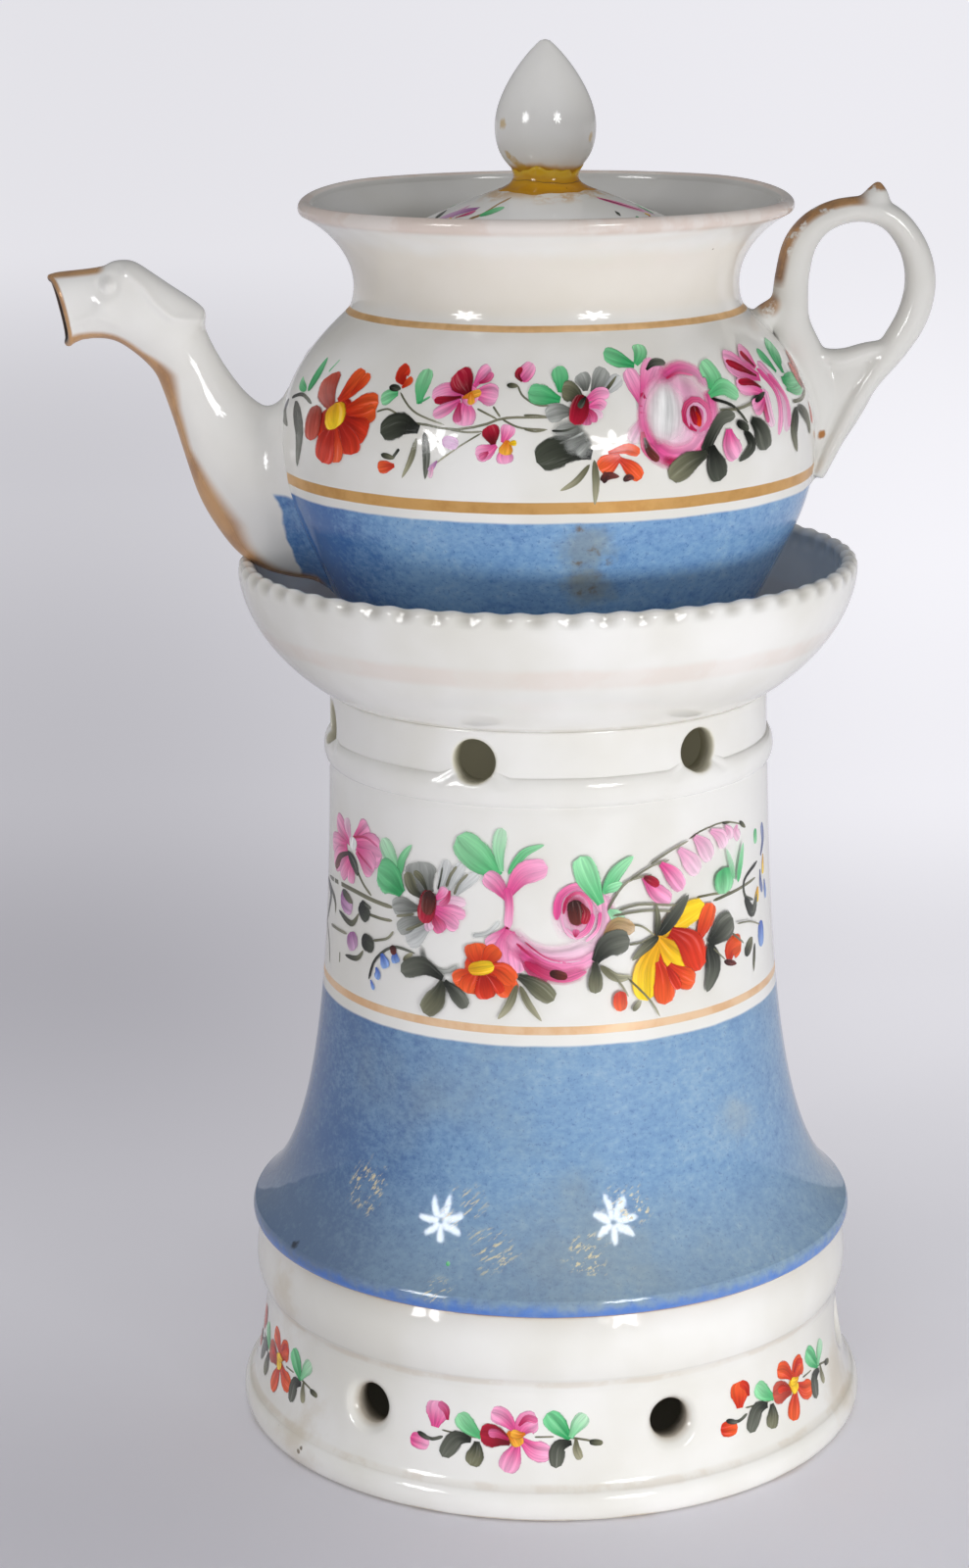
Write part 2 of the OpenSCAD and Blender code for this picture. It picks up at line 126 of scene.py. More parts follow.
def curve(a, b, c, d, n=16):
    """Points on the curve from a to d that b and c pull towards themselves."""
    points = []
    for i in range(n + 1):
        t = i / n
        s = 1 - t
        weights = (s * s * s, 3 * s * s * t, 3 * s * t * t, t * t * t)
        points.append(tuple(sum(w * p[k] for w, p in zip(weights, (a, b, c, d))) for k in (0, 1)))
    return points


def arc(middle, size, start, end, n=8):
    """Part of an ellipse, between two angles in degrees."""
    angles = [math.radians(start + (end - start) * i / n) for i in range(n + 1)]
    return [(middle[0] + size[0] * math.cos(w), middle[1] + size[1] * math.sin(w)) for w in angles]


def inset(outline, t):
    """A rising outline moved inwards by the thickness of the wall."""
    moved = []
    for i, (r, z) in enumerate(outline):
        before = outline[max(i - 1, 0)]
        after = outline[min(i + 1, len(outline) - 1)]
        dr, dz = after[0] - before[0], after[1] - before[1]
        size = math.hypot(dr, dz)
        moved.append((r - t * dz / size, z + t * dr / size))
    return moved


def radius_at(outline, z):
    """Radius of a rising outline at a height."""
    for (r0, z0), (r1, z1) in zip(outline, outline[1:]):
        if z0 <= z <= z1 and z1 > z0:
            return r0 + (r1 - r0) * (z - z0) / (z1 - z0)
    return outline[0][0] if z < outline[0][1] else outline[-1][0]


SHARP = 25
BEND_STEPS = 4
NEARLY_HALF = 0.45


def rounded(outline, size):
    """The outline with each corner sharper than that many degrees replaced by a small bend."""
    bent = [outline[0]]
    for before, here, after in zip(outline, outline[1:], outline[2:]):
        into = Vector((here[0] - before[0], here[1] - before[1]))
        out = Vector((after[0] - here[0], after[1] - here[1]))
        if into.length < 1e-6 or out.length < 1e-6:
            continue
        if math.degrees(into.angle(out)) < SHARP:
            bent.append(here)
            continue
        reach = min(size, NEARLY_HALF * into.length, NEARLY_HALF * out.length)
        start = Vector(here) - into.normalized() * reach
        end = Vector(here) + out.normalized() * reach
        for i in range(BEND_STEPS + 1):
            t = i / BEND_STEPS
            bent.append(tuple((1 - t) ** 2 * start + 2 * t * (1 - t) * Vector(here) + t * t * end))
    return bent + [outline[-1]]


def evenly(outline, step):
    """The outline with extra points wherever two of them are further apart than the step."""
    full = [outline[0]]
    for a, b in zip(outline, outline[1:]):
        parts = max(1, math.ceil(math.dist(a, b) / step))
        full += [(a[0] + (b[0] - a[0]) * i / parts, a[1] + (b[1] - a[1]) * i / parts)
                 for i in range(1, parts + 1)]
    return full


def soft(outline, corner=0.5, step=1.4):
    """The outline as the glaze leaves it: rounded corners, and points close enough for an even skin."""
    return evenly(rounded(outline, corner), step)


# %% [markdown]
# ## The wheel
#
# A circle primitive is a closed ring of edges. Its points are set out along the outline, and Spin turns
# the ring round the axis. Points on the axis fall together, so doubles are merged, and the normals are
# recalculated because the direction of the outline decides which way they face.

# %% Turn an outline
STEPS = 192


def start_clean():
    if bpy.context.object and bpy.context.object.mode != "OBJECT":
        bpy.ops.object.mode_set(mode="OBJECT")
    bpy.ops.object.select_all(action="DESELECT")


def pick(*pieces):
    """Select these pieces and nothing else; the first one is active."""
    start_clean()
    for piece in pieces:
        piece.select_set(True)
    bpy.context.view_layer.objects.active = pieces[0]


def named(name):
    """The object that was made last, under its name."""
    piece = bpy.context.object
    piece.name = piece.data.name = name
    return piece


def close_mesh():
    """Merge what falls together and turn every face outwards."""
    bpy.ops.mesh.select_all(action="SELECT")
    bpy.ops.mesh.remove_doubles(threshold=0.002 * MM)
    bpy.ops.mesh.dissolve_degenerate(threshold=0.001 * MM)
    bpy.ops.mesh.delete_loose()
    bpy.ops.mesh.select_all(action="SELECT")
    bpy.ops.mesh.normals_make_consistent(inside=False)
    bpy.ops.object.mode_set(mode="OBJECT")
    bpy.ops.object.shade_smooth()


def turned(name, outline, steps=STEPS, first=0.0):
    """Spin a closed outline round Z; the first column of points stands at the angle first."""
    start_clean()
    bpy.ops.mesh.primitive_circle_add(vertices=len(outline), radius=10 * MM)
    piece = named(name)
    for vert, (r, z) in zip(piece.data.vertices, outline):
        vert.co = (r * MM * math.cos(first), r * MM * math.sin(first), z * MM)
    bpy.ops.object.mode_set(mode="EDIT")
    bpy.ops.mesh.select_all(action="SELECT")
    bpy.ops.mesh.spin(steps=steps, angle=2 * math.pi, center=(0, 0, 0), axis=(0, 0, 1))
    close_mesh()
    print(name, len(piece.data.polygons), "faces")
    return piece


# %% [markdown]
# ## Round holes in a turned wall
#
# Air holes cut with a Boolean leave long thin faces that show in a glossy glaze. Here a block of faces is
# taken out of the outer and the inner skin, the open edges are extruded ring by ring onto circles, and the
# two last rings are bridged. The quads run round the hole, so the glaze shades without a flaw.

# %% Open a row of holes


def radius_of(place):
    """Distance from the axis, in millimetres."""
    return math.hypot(place.x, place.y) / MM


def angle_of(place):
    return math.atan2(place.y, place.x)


def nearest_turn(angle, angles):
    """The angle of the list that is closest, and how far off it is."""
    best = min(angles, key=lambda a: abs(math.remainder(angle - a, 2 * math.pi)))
    return best, math.remainder(angle - best, 2 * math.pi)


def on_hole_circle(point, angles, hole_z, radius, depth, wall):
    """Where a point of an open edge goes: a circle round the hole, that far under the wall's skin."""
    angle, _ = nearest_turn(angle_of(point), angles)
    out = Vector((math.cos(angle), math.sin(angle), 0))
    side = Vector((-math.sin(angle), math.cos(angle), 0))
    way = math.atan2(point.z / MM - hole_z, point.dot(side) / MM)
    across, up = radius * math.cos(way), radius * math.sin(way)
    skin = radius_at(wall, hole_z + up)
    reach = math.sqrt(max(skin * skin - across * across, 0)) - depth
    return (out * reach + side * across) * MM + Vector((0, 0, (hole_z + up) * MM))


def open_holes(piece, angles, hole_z, block, outside, inside, rings):
    """Cut round holes. Half the block that is taken out is given in columns of the spin and in millimetres
    of height. Each ring is (radius, depth under the outer skin, radius on the inner skin)."""
    half_width, half_height = block[0] * 2 * math.pi / STEPS, block[1]
    pick(piece)
    bpy.ops.object.mode_set(mode="EDIT")
    bpy.ops.mesh.select_mode(type="FACE")
    bpy.ops.mesh.select_all(action="DESELECT")
    mesh = bmesh.from_edit_mesh(piece.data)
    for face in mesh.faces:
        middle = face.calc_center_median()
        _, off = nearest_turn(angle_of(middle), angles)
        if abs(off) < half_width and abs(middle.z / MM - hole_z) < half_height:
            face.select_set(True)
    bpy.ops.mesh.delete(type="FACE")
    bpy.ops.mesh.select_mode(type="EDGE")
    bpy.ops.mesh.select_non_manifold(extend=False, use_wire=False, use_multi_face=False,
                                     use_non_contiguous=False, use_verts=False)
    for radius, depth, inner_radius in rings:
        bpy.ops.mesh.extrude_edges_indiv()
        mesh = bmesh.from_edit_mesh(piece.data)
        for vert in mesh.verts:
            if not vert.select:
                continue
            z = vert.co.z / MM
            if radius_of(vert.co) > (radius_at(outside, z) + radius_at(inside, z)) / 2:
                vert.co = on_hole_circle(vert.co, angles, hole_z, radius, depth, outside)
            else:
                vert.co = on_hole_circle(vert.co, angles, hole_z, inner_radius, 0, inside)
        bmesh.update_edit_mesh(piece.data)
    last = [edge.index for edge in mesh.edges if edge.select]
    for angle in angles:
        bpy.ops.mesh.select_all(action="DESELECT")
        mesh = bmesh.from_edit_mesh(piece.data)
        mesh.edges.ensure_lookup_table()
        for index in last:
            edge = mesh.edges[index]
            middle = (edge.verts[0].co + edge.verts[1].co) / 2
            if nearest_turn(angle_of(middle), angles)[0] == angle:
                edge.select_set(True)
        bpy.ops.mesh.bridge_edge_loops()
    close_mesh()
    print(piece.name, "now has", len(angles), "holes")


# %% [markdown]
# ## Base
#
# The base is a shallow drum on a rolled foot. Its hollowed band carries the painted sprigs and six air
# holes, each with a small dish worn round it. The shoulder above swells out in a soft roll and ends in the
# ledge and the locating collar for the pedestal. The first column of the spin stands on a hole, so each
# block is symmetrical.

# %% Turn the base
FOOT_ROLL = (1.6, 2.8)
FOOT_RECESS = 2.6
BAND_TOP = 22.4
BAND_IN, SHOULDER_IN, LEDGE_IN = 4.8, 3, 2.2
BASE_WALL = 3.6
FLOOR_TOP = 7.2
WELL_CORNER = 5
COLLAR_IN, COLLAR_OUT, COLLAR_H = 44, 47, 3.5
LAMP_SEAT_R = 18
foot_line = base_r - FOOT_ROLL[0]
band_r = base_r - BAND_IN
shoulder_r = base_r - SHOULDER_IN
ledge_r = skirt_r - LEDGE_IN
well_r = band_r - BASE_WALL
collar_top = ledge_z + COLLAR_H

band = curve((foot_line, 2 * FOOT_ROLL[1]), (foot_line - 1.5, 8.8),
             (band_r + 0.9, 14.5), (band_r, BAND_TOP))
shoulder = curve((band_r, BAND_TOP + 0.1), (band_r, BAND_TOP + 1.5),
                 (band_r + 0.3, BAND_TOP + 2.0), (band_r + 0.8, BAND_TOP + 2.7), 6)
shoulder += curve((band_r + 0.9, BAND_TOP + 2.8), (shoulder_r, BAND_TOP + 4.4),
                  (shoulder_r + 0.7, ledge_z - 5.6), (ledge_r + 0.2, ledge_z - 0.6))
well = curve((COLLAR_IN, ledge_z - 4), (COLLAR_OUT + 1.5, ledge_z - 4),
             (well_r + 0.8, ledge_z - 5.5), (well_r + 0.8, ledge_z - 10), 8)
well += arc((well_r - WELL_CORNER, FLOOR_TOP + WELL_CORNER), (WELL_CORNER, WELL_CORNER), 0, -90)
base_outline = (
    [(0, FOOT_RECESS), (foot_line - 6.5, FOOT_RECESS), (foot_line - 5.5, 0)]
    + arc((foot_line, FOOT_ROLL[1]), FOOT_ROLL, -90, 90)
    + band + shoulder
    + [(ledge_r, ledge_z), (COLLAR_OUT, ledge_z), (COLLAR_OUT, collar_top), (COLLAR_IN, collar_top)]
    + well
    + [(LAMP_SEAT_R, FLOOR_TOP), (LAMP_SEAT_R, lamp_z), (0, lamp_z)]
)
VENTS = 6
BASE_VENT_Z = 15.6
BASE_VENT_R = 3.5
BASE_DISH_R = 5.0
BASE_VENT_FIRST = 22 - 90
base_vents = [math.radians(BASE_VENT_FIRST + 360 / VENTS * i) for i in range(VENTS)]
base = turned("base", soft(base_outline, 0.6), STEPS, base_vents[0])

# %% Open the air holes of the base
open_holes(
    base, base_vents, BASE_VENT_Z, (4.2, 6.6), band + shoulder, well[::-1],
    [(BASE_DISH_R + 1.3, 0, BASE_VENT_R + 0.9), (BASE_DISH_R + 0.4, 0, BASE_VENT_R + 0.4),
     (BASE_DISH_R - 0.1, 0.15, BASE_VENT_R + 0.2), (BASE_DISH_R - 0.7, 0.6, BASE_VENT_R + 0.1),
     (BASE_VENT_R + 0.25, 1.25, BASE_VENT_R + 0.05), (BASE_VENT_R, 1.8, BASE_VENT_R)],
)

# %% [markdown]
# ## Pedestal
#
# The pedestal is a hollow column that flares into a skirt. Near the top a bead runs round it, and above
# the bead six plain holes let the smoke of the lamp out.

# %% Turn the pedestal and open its smoke holes
COLUMN_R = 39.6
COLUMN_WALL = 3.4
COLLAR_R = COLUMN_R - 0.3
BEAD = (1.2, 2.6)
SKIRT_LIP = 4
LIP_ROLL = (1.2, 1.9)
bead_z = bowl_z - 8.1 - BEAD[1]
column_top = bead_z - BEAD[1] - 1.7
skirt = curve((skirt_r - 0.5, ledge_z + 3.4), (COLUMN_R + 6.4, ledge_z + 11),
              (COLUMN_R + 1.1, ledge_z + 29), (COLUMN_R, column_top), 64)
column = skirt + arc((COLLAR_R, bead_z), BEAD, -90, 90, 12) + [(COLLAR_R, bowl_z)]
column_inside = [p for p in inset(skirt, COLUMN_WALL) if p[0] < skirt_r - SKIRT_LIP]
column_inside += [(COLLAR_R - COLUMN_WALL, bowl_z)]
pedestal_outline = (
    [(skirt_r - SKIRT_LIP, ledge_z)]
    + arc((skirt_r - LIP_ROLL[0], ledge_z + LIP_ROLL[1]), LIP_ROLL, -90, 50)
    + column
    + column_inside[::-1]
)
COLUMN_VENT_Z = bowl_z - 5.5
COLUMN_VENT_R = 3.8
COLUMN_VENT_FIRST = -20 - 90
column_vents = [math.radians(COLUMN_VENT_FIRST + 360 / VENTS * i) for i in range(VENTS)]
pedestal = turned("pedestal", soft(pedestal_outline), STEPS, column_vents[0])
open_holes(
    pedestal, column_vents, COLUMN_VENT_Z, (5.2, 4.4), column, column_inside,
    [(COLUMN_VENT_R + 0.7, 0, COLUMN_VENT_R + 0.5), (COLUMN_VENT_R + 0.3, 0.02, COLUMN_VENT_R + 0.2),
     (COLUMN_VENT_R + 0.1, 0.15, COLUMN_VENT_R + 0.1), (COLUMN_VENT_R, 0.5, COLUMN_VENT_R)],
)

# %% [markdown]
# ## Bowl
#
# The bowl is luted on top of the pedestal. Its rim is a roll with sixty soft flutes pressed across it, like
# a rope. The spin gets eight columns for each flute, and then the points of the rim move in and out along a
# cosine, most on the outer shoulder of the roll, where each flute runs out into the smooth side.

# %% Turn the bowl and flute its rim


def fade(x, start, end):
    """0 at the start, 1 at the end, and soft in between."""
    t = min(max((x - start) / (end - start), 0), 1)
    return t * t * (3 - 2 * t)


BOWL_WALL = 3
BOWL_FLOOR = 4.3
BOWL_OPENING_R = 27.8
FLUTES = 60
FLUTE_COLUMNS = 8
FLUTE_DEPTH = 0.6
CROWN = 0.5
CROWN_END = 0.9
OUTER_END = (1.3, 2.7)
INNER_END = (2.0, 4.0)
pot_z = bowl_z + BOWL_FLOOR
roll = BOWL_WALL / 2
bowl_side = curve((COLLAR_R + 0.1, bowl_z), (COLLAR_R + 6.9, bowl_z + 3.5),
                  (bowl_r - 0.1, bowl_z + 12.6), (bowl_r, bowl_top - roll), 44)
bowl_inside = [p for p in inset(bowl_side, BOWL_WALL) if pot_z < p[1] < bowl_top - roll - 0.4]
bowl_outline = (
    [(BOWL_OPENING_R, bowl_z)]
    + bowl_side
    + arc((bowl_r - roll, bowl_top - roll), (roll, roll), 0, 180, 14)
    + bowl_inside[::-1]
    + [(bowl_inside[0][0] - 0.4, pot_z), (BOWL_OPENING_R, pot_z)]
)
bowl = turned("bowl", soft(bowl_outline), FLUTES * FLUTE_COLUMNS)


def flute_share(place):
    """How deep the flutes are at a place on the bowl: 0 on the smooth parts, 1 in the middle of a flute."""
    below = bowl_top - place.z / MM
    wave = 0.5 - 0.5 * math.cos(FLUTES * angle_of(place))
    if radius_of(place) > bowl_r - roll:
        return wave * (CROWN + (1 - CROWN) * fade(below, 0, CROWN_END)) * (1 - fade(below, *OUTER_END))
    return wave * CROWN * (1 - fade(below, *INNER_END))


for vert in bowl.data.vertices:
    out = Vector((vert.co.x, vert.co.y, 0)).normalized()
    across = radius_of(vert.co) - (bowl_r - roll)
    up = vert.co.z / MM - (bowl_top - roll)
    leaning = (out * across + Vector((0, 0, max(up, 0)))).normalized()
    vert.co -= leaning * FLUTE_DEPTH * flute_share(vert.co) * MM
print("fluted rim at", round(bowl_top, 1), "mm")

# %% [markdown]
# ## Teapot
#
# The body is a low round belly under a wide flared neck. The lid sits on a ledge inside the neck, and a
# ring under the foot keeps the pot in the opening of the bowl. The rim went out of true in the kiln and
# stands a little higher at the back.

# %% Turn the teapot
POT_WALL = 3
NECK_WALL = 2.2
RIM_T = 2.4
RIM_R = 43.15
NECK_R = 33.7
BELLY_H = 39.2
SHOULDER_H = 23.9
LID_LEDGE_W = 2.9
FOOT_IN = 14.4
POT_RING_H = 3.8
pot_ring_r = BOWL_OPENING_R - 0.4
pot_foot_r = belly_r - FOOT_IN
belly_z = pot_z + BELLY_H
neck_z = belly_z + SHOULDER_H
neck_h = rim_z - neck_z
lid_z = neck_z + 0.45 * neck_h
pot_floor = pot_z + POT_WALL

lower = curve((pot_foot_r, pot_z + 0.2), (pot_foot_r + 5.2, pot_z + 0.44 * BELLY_H),
              (belly_r, pot_z + 0.64 * BELLY_H), (belly_r, belly_z), 32)
upper = curve((belly_r, belly_z), (belly_r, belly_z + 0.48 * SHOULDER_H),
              (NECK_R + 7.4, belly_z + 0.75 * SHOULDER_H), (NECK_R + 0.9, neck_z), 24)
neck = curve((NECK_R + 0.9, neck_z), (NECK_R - 1, neck_z + 0.2 * neck_h),
             (NECK_R - 0.6, neck_z + 0.61 * neck_h), (RIM_R - 1, rim_z - RIM_T), 20)
pot_side = lower + upper[1:]
neck_inside = inset(neck, NECK_WALL)
lid_seat_r = radius_at(neck_inside, lid_z)
throat_r = lid_seat_r - LID_LEDGE_W
lower_inside = [p for p in inset(lower, POT_WALL) if p[1] > pot_floor + 0.3]
upper_inside = inset(upper, POT_WALL)
neck_hollow = [p for p in neck_inside if lid_z < p[1] < rim_z - 1.5 * RIM_T]
pot_outline = (
    [(0, pot_z), (pot_ring_r - 4.2, pot_z), (pot_ring_r - 3.2, pot_z - POT_RING_H),
     (pot_ring_r, pot_z - POT_RING_H), (pot_ring_r, pot_z), (pot_foot_r, pot_z)]
    + pot_side + neck[1:]
    + arc((RIM_R - RIM_T / 2, rim_z - RIM_T / 2), (RIM_T / 2, RIM_T / 2), -50, 180, 14)
    + neck_hollow[::-1]
    + [(lid_seat_r, lid_z), (throat_r, lid_z), (throat_r, upper_inside[-1][1] + 1)]
    + upper_inside[::-1] + lower_inside[-2::-1]
    + [(lower_inside[0][0] - 0.8, pot_floor), (0, pot_floor)]
)
pot = turned("teapot", soft(pot_outline), STEPS, math.pi)

# %% Warp the rim
RIM_LIFT = 0.4
BACK_LIFT = 1.7
BACK_FROM = (-0.2, 0.7)
for vert in pot.data.vertices:
    upper_share = fade(vert.co.z / MM, lid_z + 2, rim_z)
    behind = fade(vert.co.y / MM / RIM_R, *BACK_FROM)
    vert.co.z += (RIM_LIFT + BACK_LIFT * behind) * upper_share * MM
print("rim up to", round(max(v.co.z for v in pot.data.vertices) / MM, 1), "mm at the back")

# %% [markdown]
# ## Lid and finial
#
# The lid is a low dome with a locating ring under it, and its finial has the form of a bud.

# %% Turn the lid
LID_WALL = 2.8
LID_GAP = 0.4
LID_EDGE = 1.8
LID_RING = (2.4, 4)
LID_STEPS = 128
FINIAL_NECK_R = 5.1
lid_r = lid_seat_r - LID_GAP
lid_ring_r = throat_r - LID_GAP
dome_h = finial_z - lid_z
dome = curve((lid_r, lid_z + LID_EDGE), (0.68 * lid_r, lid_z + 0.54 * dome_h),
             (0.38 * lid_r, lid_z + 0.85 * dome_h), (FINIAL_NECK_R, finial_z), 20)
dome_rising = dome[::-1]
lid_inside = [p for p in inset(dome_rising, -LID_WALL) if p[0] < lid_ring_r - LID_RING[0]]
lid_outline = (
    [(0, finial_z), (0, finial_z - LID_WALL)] + lid_inside
    + [(lid_ring_r - LID_RING[0], lid_z - LID_RING[1]), (lid_ring_r, lid_z - LID_RING[1]),
       (lid_ring_r, lid_z), (lid_r, lid_z)]
    + dome
)
lid = turned("lid", soft(lid_outline), LID_STEPS)

# %% Turn the finial
SMALL_STEPS = 96
finial_h = finial_top - finial_z
finial_wide = finial_z + 0.4 * finial_h
finial_side = [(FINIAL_NECK_R, finial_z)]
finial_side += curve((FINIAL_NECK_R, finial_z + 1.2), (FINIAL_NECK_R, finial_z + 2.8),
                     (finial_r, finial_z + 3.5), (finial_r, finial_wide), 16)
finial_side += curve((finial_r, finial_wide), (finial_r, finial_wide + 5.5),
                     (0.41 * finial_r, finial_z + 0.9 * finial_h), (0.8, finial_top - 0.2), 20)[1:]
finial = turned("finial", evenly([(0, finial_z)] + finial_side + [(0, finial_top)], 1.2), SMALL_STEPS)

# %% [markdown]
# ## Lofted forms
#
# The spout and the handle are not round, so they are drawn as a row of rings. A circle is extruded once for
# each ring, which leaves all rings lying on top of each other, and then every ring is set out on its own
# oval. Stations are few and a smooth run through them gives the rings in between.

# %% Loft helpers


def smooth_run(stations, n):
    """A smooth run of numbers through a list of stations, n steps between two."""
    run = []
    last = len(stations) - 1
    for i in range(last):
        a, b = stations[max(i - 1, 0)], stations[i]
        c, d = stations[i + 1], stations[min(i + 2, last)]
        for k in range(n):
            t = k / n
            run.append([
                0.5 * (2 * q + (r - p) * t + (2 * p - 5 * q + 4 * r - s) * t * t
                       + (3 * q - p - 3 * r + s) * t * t * t)
                for p, q, r, s in zip(a, b, c, d)
            ])
    return run + [list(stations[last])]


def oval_ring(low, high, half_width, count, squareness=2.0):
    """Points round the line from low to high, which both lie in the plane of the axis."""
    ring = []
    for i in range(count):
        w = 2 * math.pi * i / count
        c = math.copysign(abs(math.cos(w)) ** (2 / squareness), math.cos(w))
        s = math.copysign(abs(math.sin(w)) ** (2 / squareness), math.sin(w))
        x, z = ((1 + c) / 2 * h + (1 - c) / 2 * l for l, h in zip(low, high))
        ring.append(Vector((x, half_width * s, z)))
    return ring


def lofted(name, rings):
    """Extrude a circle through a row of rings and close both ends."""
    start_clean()
    count = len(rings[0])
    bpy.ops.mesh.primitive_circle_add(vertices=count, radius=MM)
    piece = named(name)
    bpy.ops.object.mode_set(mode="EDIT")
    bpy.ops.mesh.select_mode(type="EDGE")
    bpy.ops.mesh.select_all(action="SELECT")
    for _ in rings[1:]:
        bpy.ops.mesh.extrude_edges_indiv()
    bpy.ops.object.mode_set(mode="OBJECT")
    place = list(range(count)) + [0] * (len(piece.data.vertices) - count)
    for later, earlier in sorted((max(e.vertices), min(e.vertices)) for e in piece.data.edges):
        if later // count != earlier // count:
            place[later] = place[earlier]
    for vert in piece.data.vertices:
        vert.co = rings[vert.index // count][place[vert.index]] * MM
    bpy.ops.object.mode_set(mode="EDIT")
    bpy.ops.mesh.select_all(action="SELECT")
    bpy.ops.mesh.fill_holes(sides=0)
    bpy.ops.mesh.normals_make_consistent(inside=False)
    bpy.ops.object.mode_set(mode="OBJECT")
    bpy.ops.object.shade_smooth()
    return piece


def finish_with(piece, kind, **settings):
    """Add a modifier and apply it."""
    pick(piece)
    step = piece.modifiers.new(kind.title(), kind)
    for key, value in settings.items():
        setattr(step, key, value)
    bpy.ops.object.modifier_apply(modifier=step.name)


def joined(name, parts):
    """One object out of several."""
    pick(*parts)
    bpy.ops.object.join()
    return named(name)


def point_values(piece, name, value_of):
    """Store one number for each point, for the glaze to read."""
    values = [value_of(v) for v in piece.data.vertices]
    layer = piece.data.attributes.new(name, "FLOAT", "POINT")
    layer.data.foreach_set("value", values)
    print(piece.name, name, "on", sum(v > 0.5 for v in values), "points")


def stored(piece, name):
    """The numbers stored for the points."""
    return [item.value for item in piece.data.attributes[name].data]


def way_off(path, x, z):
    """Distance from a path of (x, z) points, and which side of it the point is on."""
    best, side = math.inf, 1
    for (ax, az), (bx, bz) in zip(path, path[1:]):
        dx, dz = bx - ax, bz - az
        t = min(max(((x - ax) * dx + (z - az) * dz) / (dx * dx + dz * dz), 0), 1)
        off = math.hypot(x - ax - t * dx, z - az - t * dz)
        if off < best:
            best, side = off, math.copysign(1, dx * (z - az) - dz * (x - ax))
    return best, side


# %% [markdown]
# ## Spout
#
# The spout ends in an animal's head: a blunt snout, a step at the brow, a domed skull and a hood that
# slopes back to a point on the nape. Each station gives the under side and the upper side, as (reach beyond
# the belly, height above its widest place), and half the width.

# %% Loft the spout
SPOUT_STATIONS = [
    (-13.5, -23.8, -5.0, 5.6, 10.2),
    (-6.2, -24.3, -1.8, 6.0, 9.9),
    (-1.6, -23.8, 0.4, 6.1, 9.6),
    (3.2, -22.4, 2.2, 6.6, 9.2),
    (7.6, -19.5, 3.9, 7.6, 8.6),
    (11.2, -14.9, 5.8, 9.3, 7.9),
    (14.3, -9.3, 7.5, 11.4, 7.2),
    (16.5, -2.4, 9.2, 13.9, 6.7),
    (18.1, 3.2, 10.5, 16.1, 6.3),
    (19.6, 8.0, 11.6, 18.3, 6.0),
    (20.8, 11.4, 12.5, 20.7, 5.9),
    (21.5, 12.8, 12.3, 22.7, 6.0),
    (22.4, 14.0, 12.9, 24.2, 6.2),
    (23.9, 15.5, 15.2, 26.0, 6.4),
    (26.0, 17.2, 18.4, 28.1, 6.6),
    (28.0, 18.4, 21.6, 30.3, 6.7),
    (29.8, 18.9, 24.6, 32.2, 6.5),
    (31.2, 19.0, 26.9, 32.5, 6.3),
    (32.2, 19.0, 28.6, 32.2, 6.1),
    (33.0, 18.9, 30.0, 31.5, 5.9),
    (33.9, 18.8, 32.2, 31.1, 5.7),
    (35.0, 18.5, 35.0, 30.8, 5.6),
    (36.1, 18.1, 38.0, 30.5, 5.5),
    (36.8, 17.6, 39.6, 30.1, 5.5),
]
SPOUT_POINTS = 48
SPOUT_STEPS = 3
SPOUT_WALL = 1.5
BORE_RINGS = 30
SNOUT_SQUARE = 2.6
SNOUT_FROM = (26, 34)
MOUTH_SKEW = 0.4
SKEW_FROM = (30, 39)
MOUTH_ROLL = ((0.12, 0.28), (0.45, 0.42), (0.9, 0.38), (1.3, 0.1))
LIP_RINGS = len(MOUTH_ROLL) + 1
# Rings into the bore over which the painted shade sets in.
BORE_SHADE_RINGS = (1, 3)


def spout_ring(station, shrink=0.0, forward=0.0):
    """Ring of a station; the mouth is cut a little askew, so its near side lies further back."""
    low = Vector((-belly_r - station[0], belly_z + station[1]))
    high = Vector((-belly_r - station[2], belly_z + station[3]))
    across = (high - low).normalized()
    ahead = Vector((-across.y, across.x)) * forward
    snout = fade(station[0], *SNOUT_FROM)
    ring = oval_ring(low + across * shrink + ahead, high - across * shrink + ahead,
                     station[4] - shrink, SPOUT_POINTS, 2 + (SNOUT_SQUARE - 2) * snout)
    for point in ring:
        point.x -= min(point.y, 0) * MOUTH_SKEW * fade(station[2], *SKEW_FROM)
    return ring


spout_run = smooth_run(SPOUT_STATIONS, SPOUT_STEPS)
spout_rings = [spout_ring(s) for s in spout_run]
spout_rings += [spout_ring(spout_run[-1], shrink, ahead) for shrink, ahead in MOUTH_ROLL]
spout_rings += [spout_ring(s, SPOUT_WALL) for s in spout_run[-2:-BORE_RINGS:-2]]
outer_points = len(spout_run) * SPOUT_POINTS
lip_points = range(outer_points - SPOUT_POINTS, outer_points + LIP_RINGS * SPOUT_POINTS)
spout = lofted("spout", spout_rings)
point_values(spout, "Skin", lambda v: float(v.index < outer_points))
point_values(spout, "Lip", lambda v: float(v.index in lip_points))
# Painted shade: a number that darkens the bore from a few rings inside the mouth.
point_values(spout, "BoreShade", lambda v: fade((v.index - outer_points) / SPOUT_POINTS, *BORE_SHADE_RINGS))
finish_with(spout, "SUBSURF", levels=1, render_levels=1)
print("spout", len(spout.data.polygons), "faces")

# %% [markdown]
# Where the spout comes near the body its skin is spread over it, as far as a quarter circle says, and then
# put back to its old distance from the body. So the two meet in a rounded fillet. The bore stays as it is.

# %% Sweep the spout into the body
SPOUT_FILLET = 4.2
ROOT_REACH = 8
FULLY = 0.99


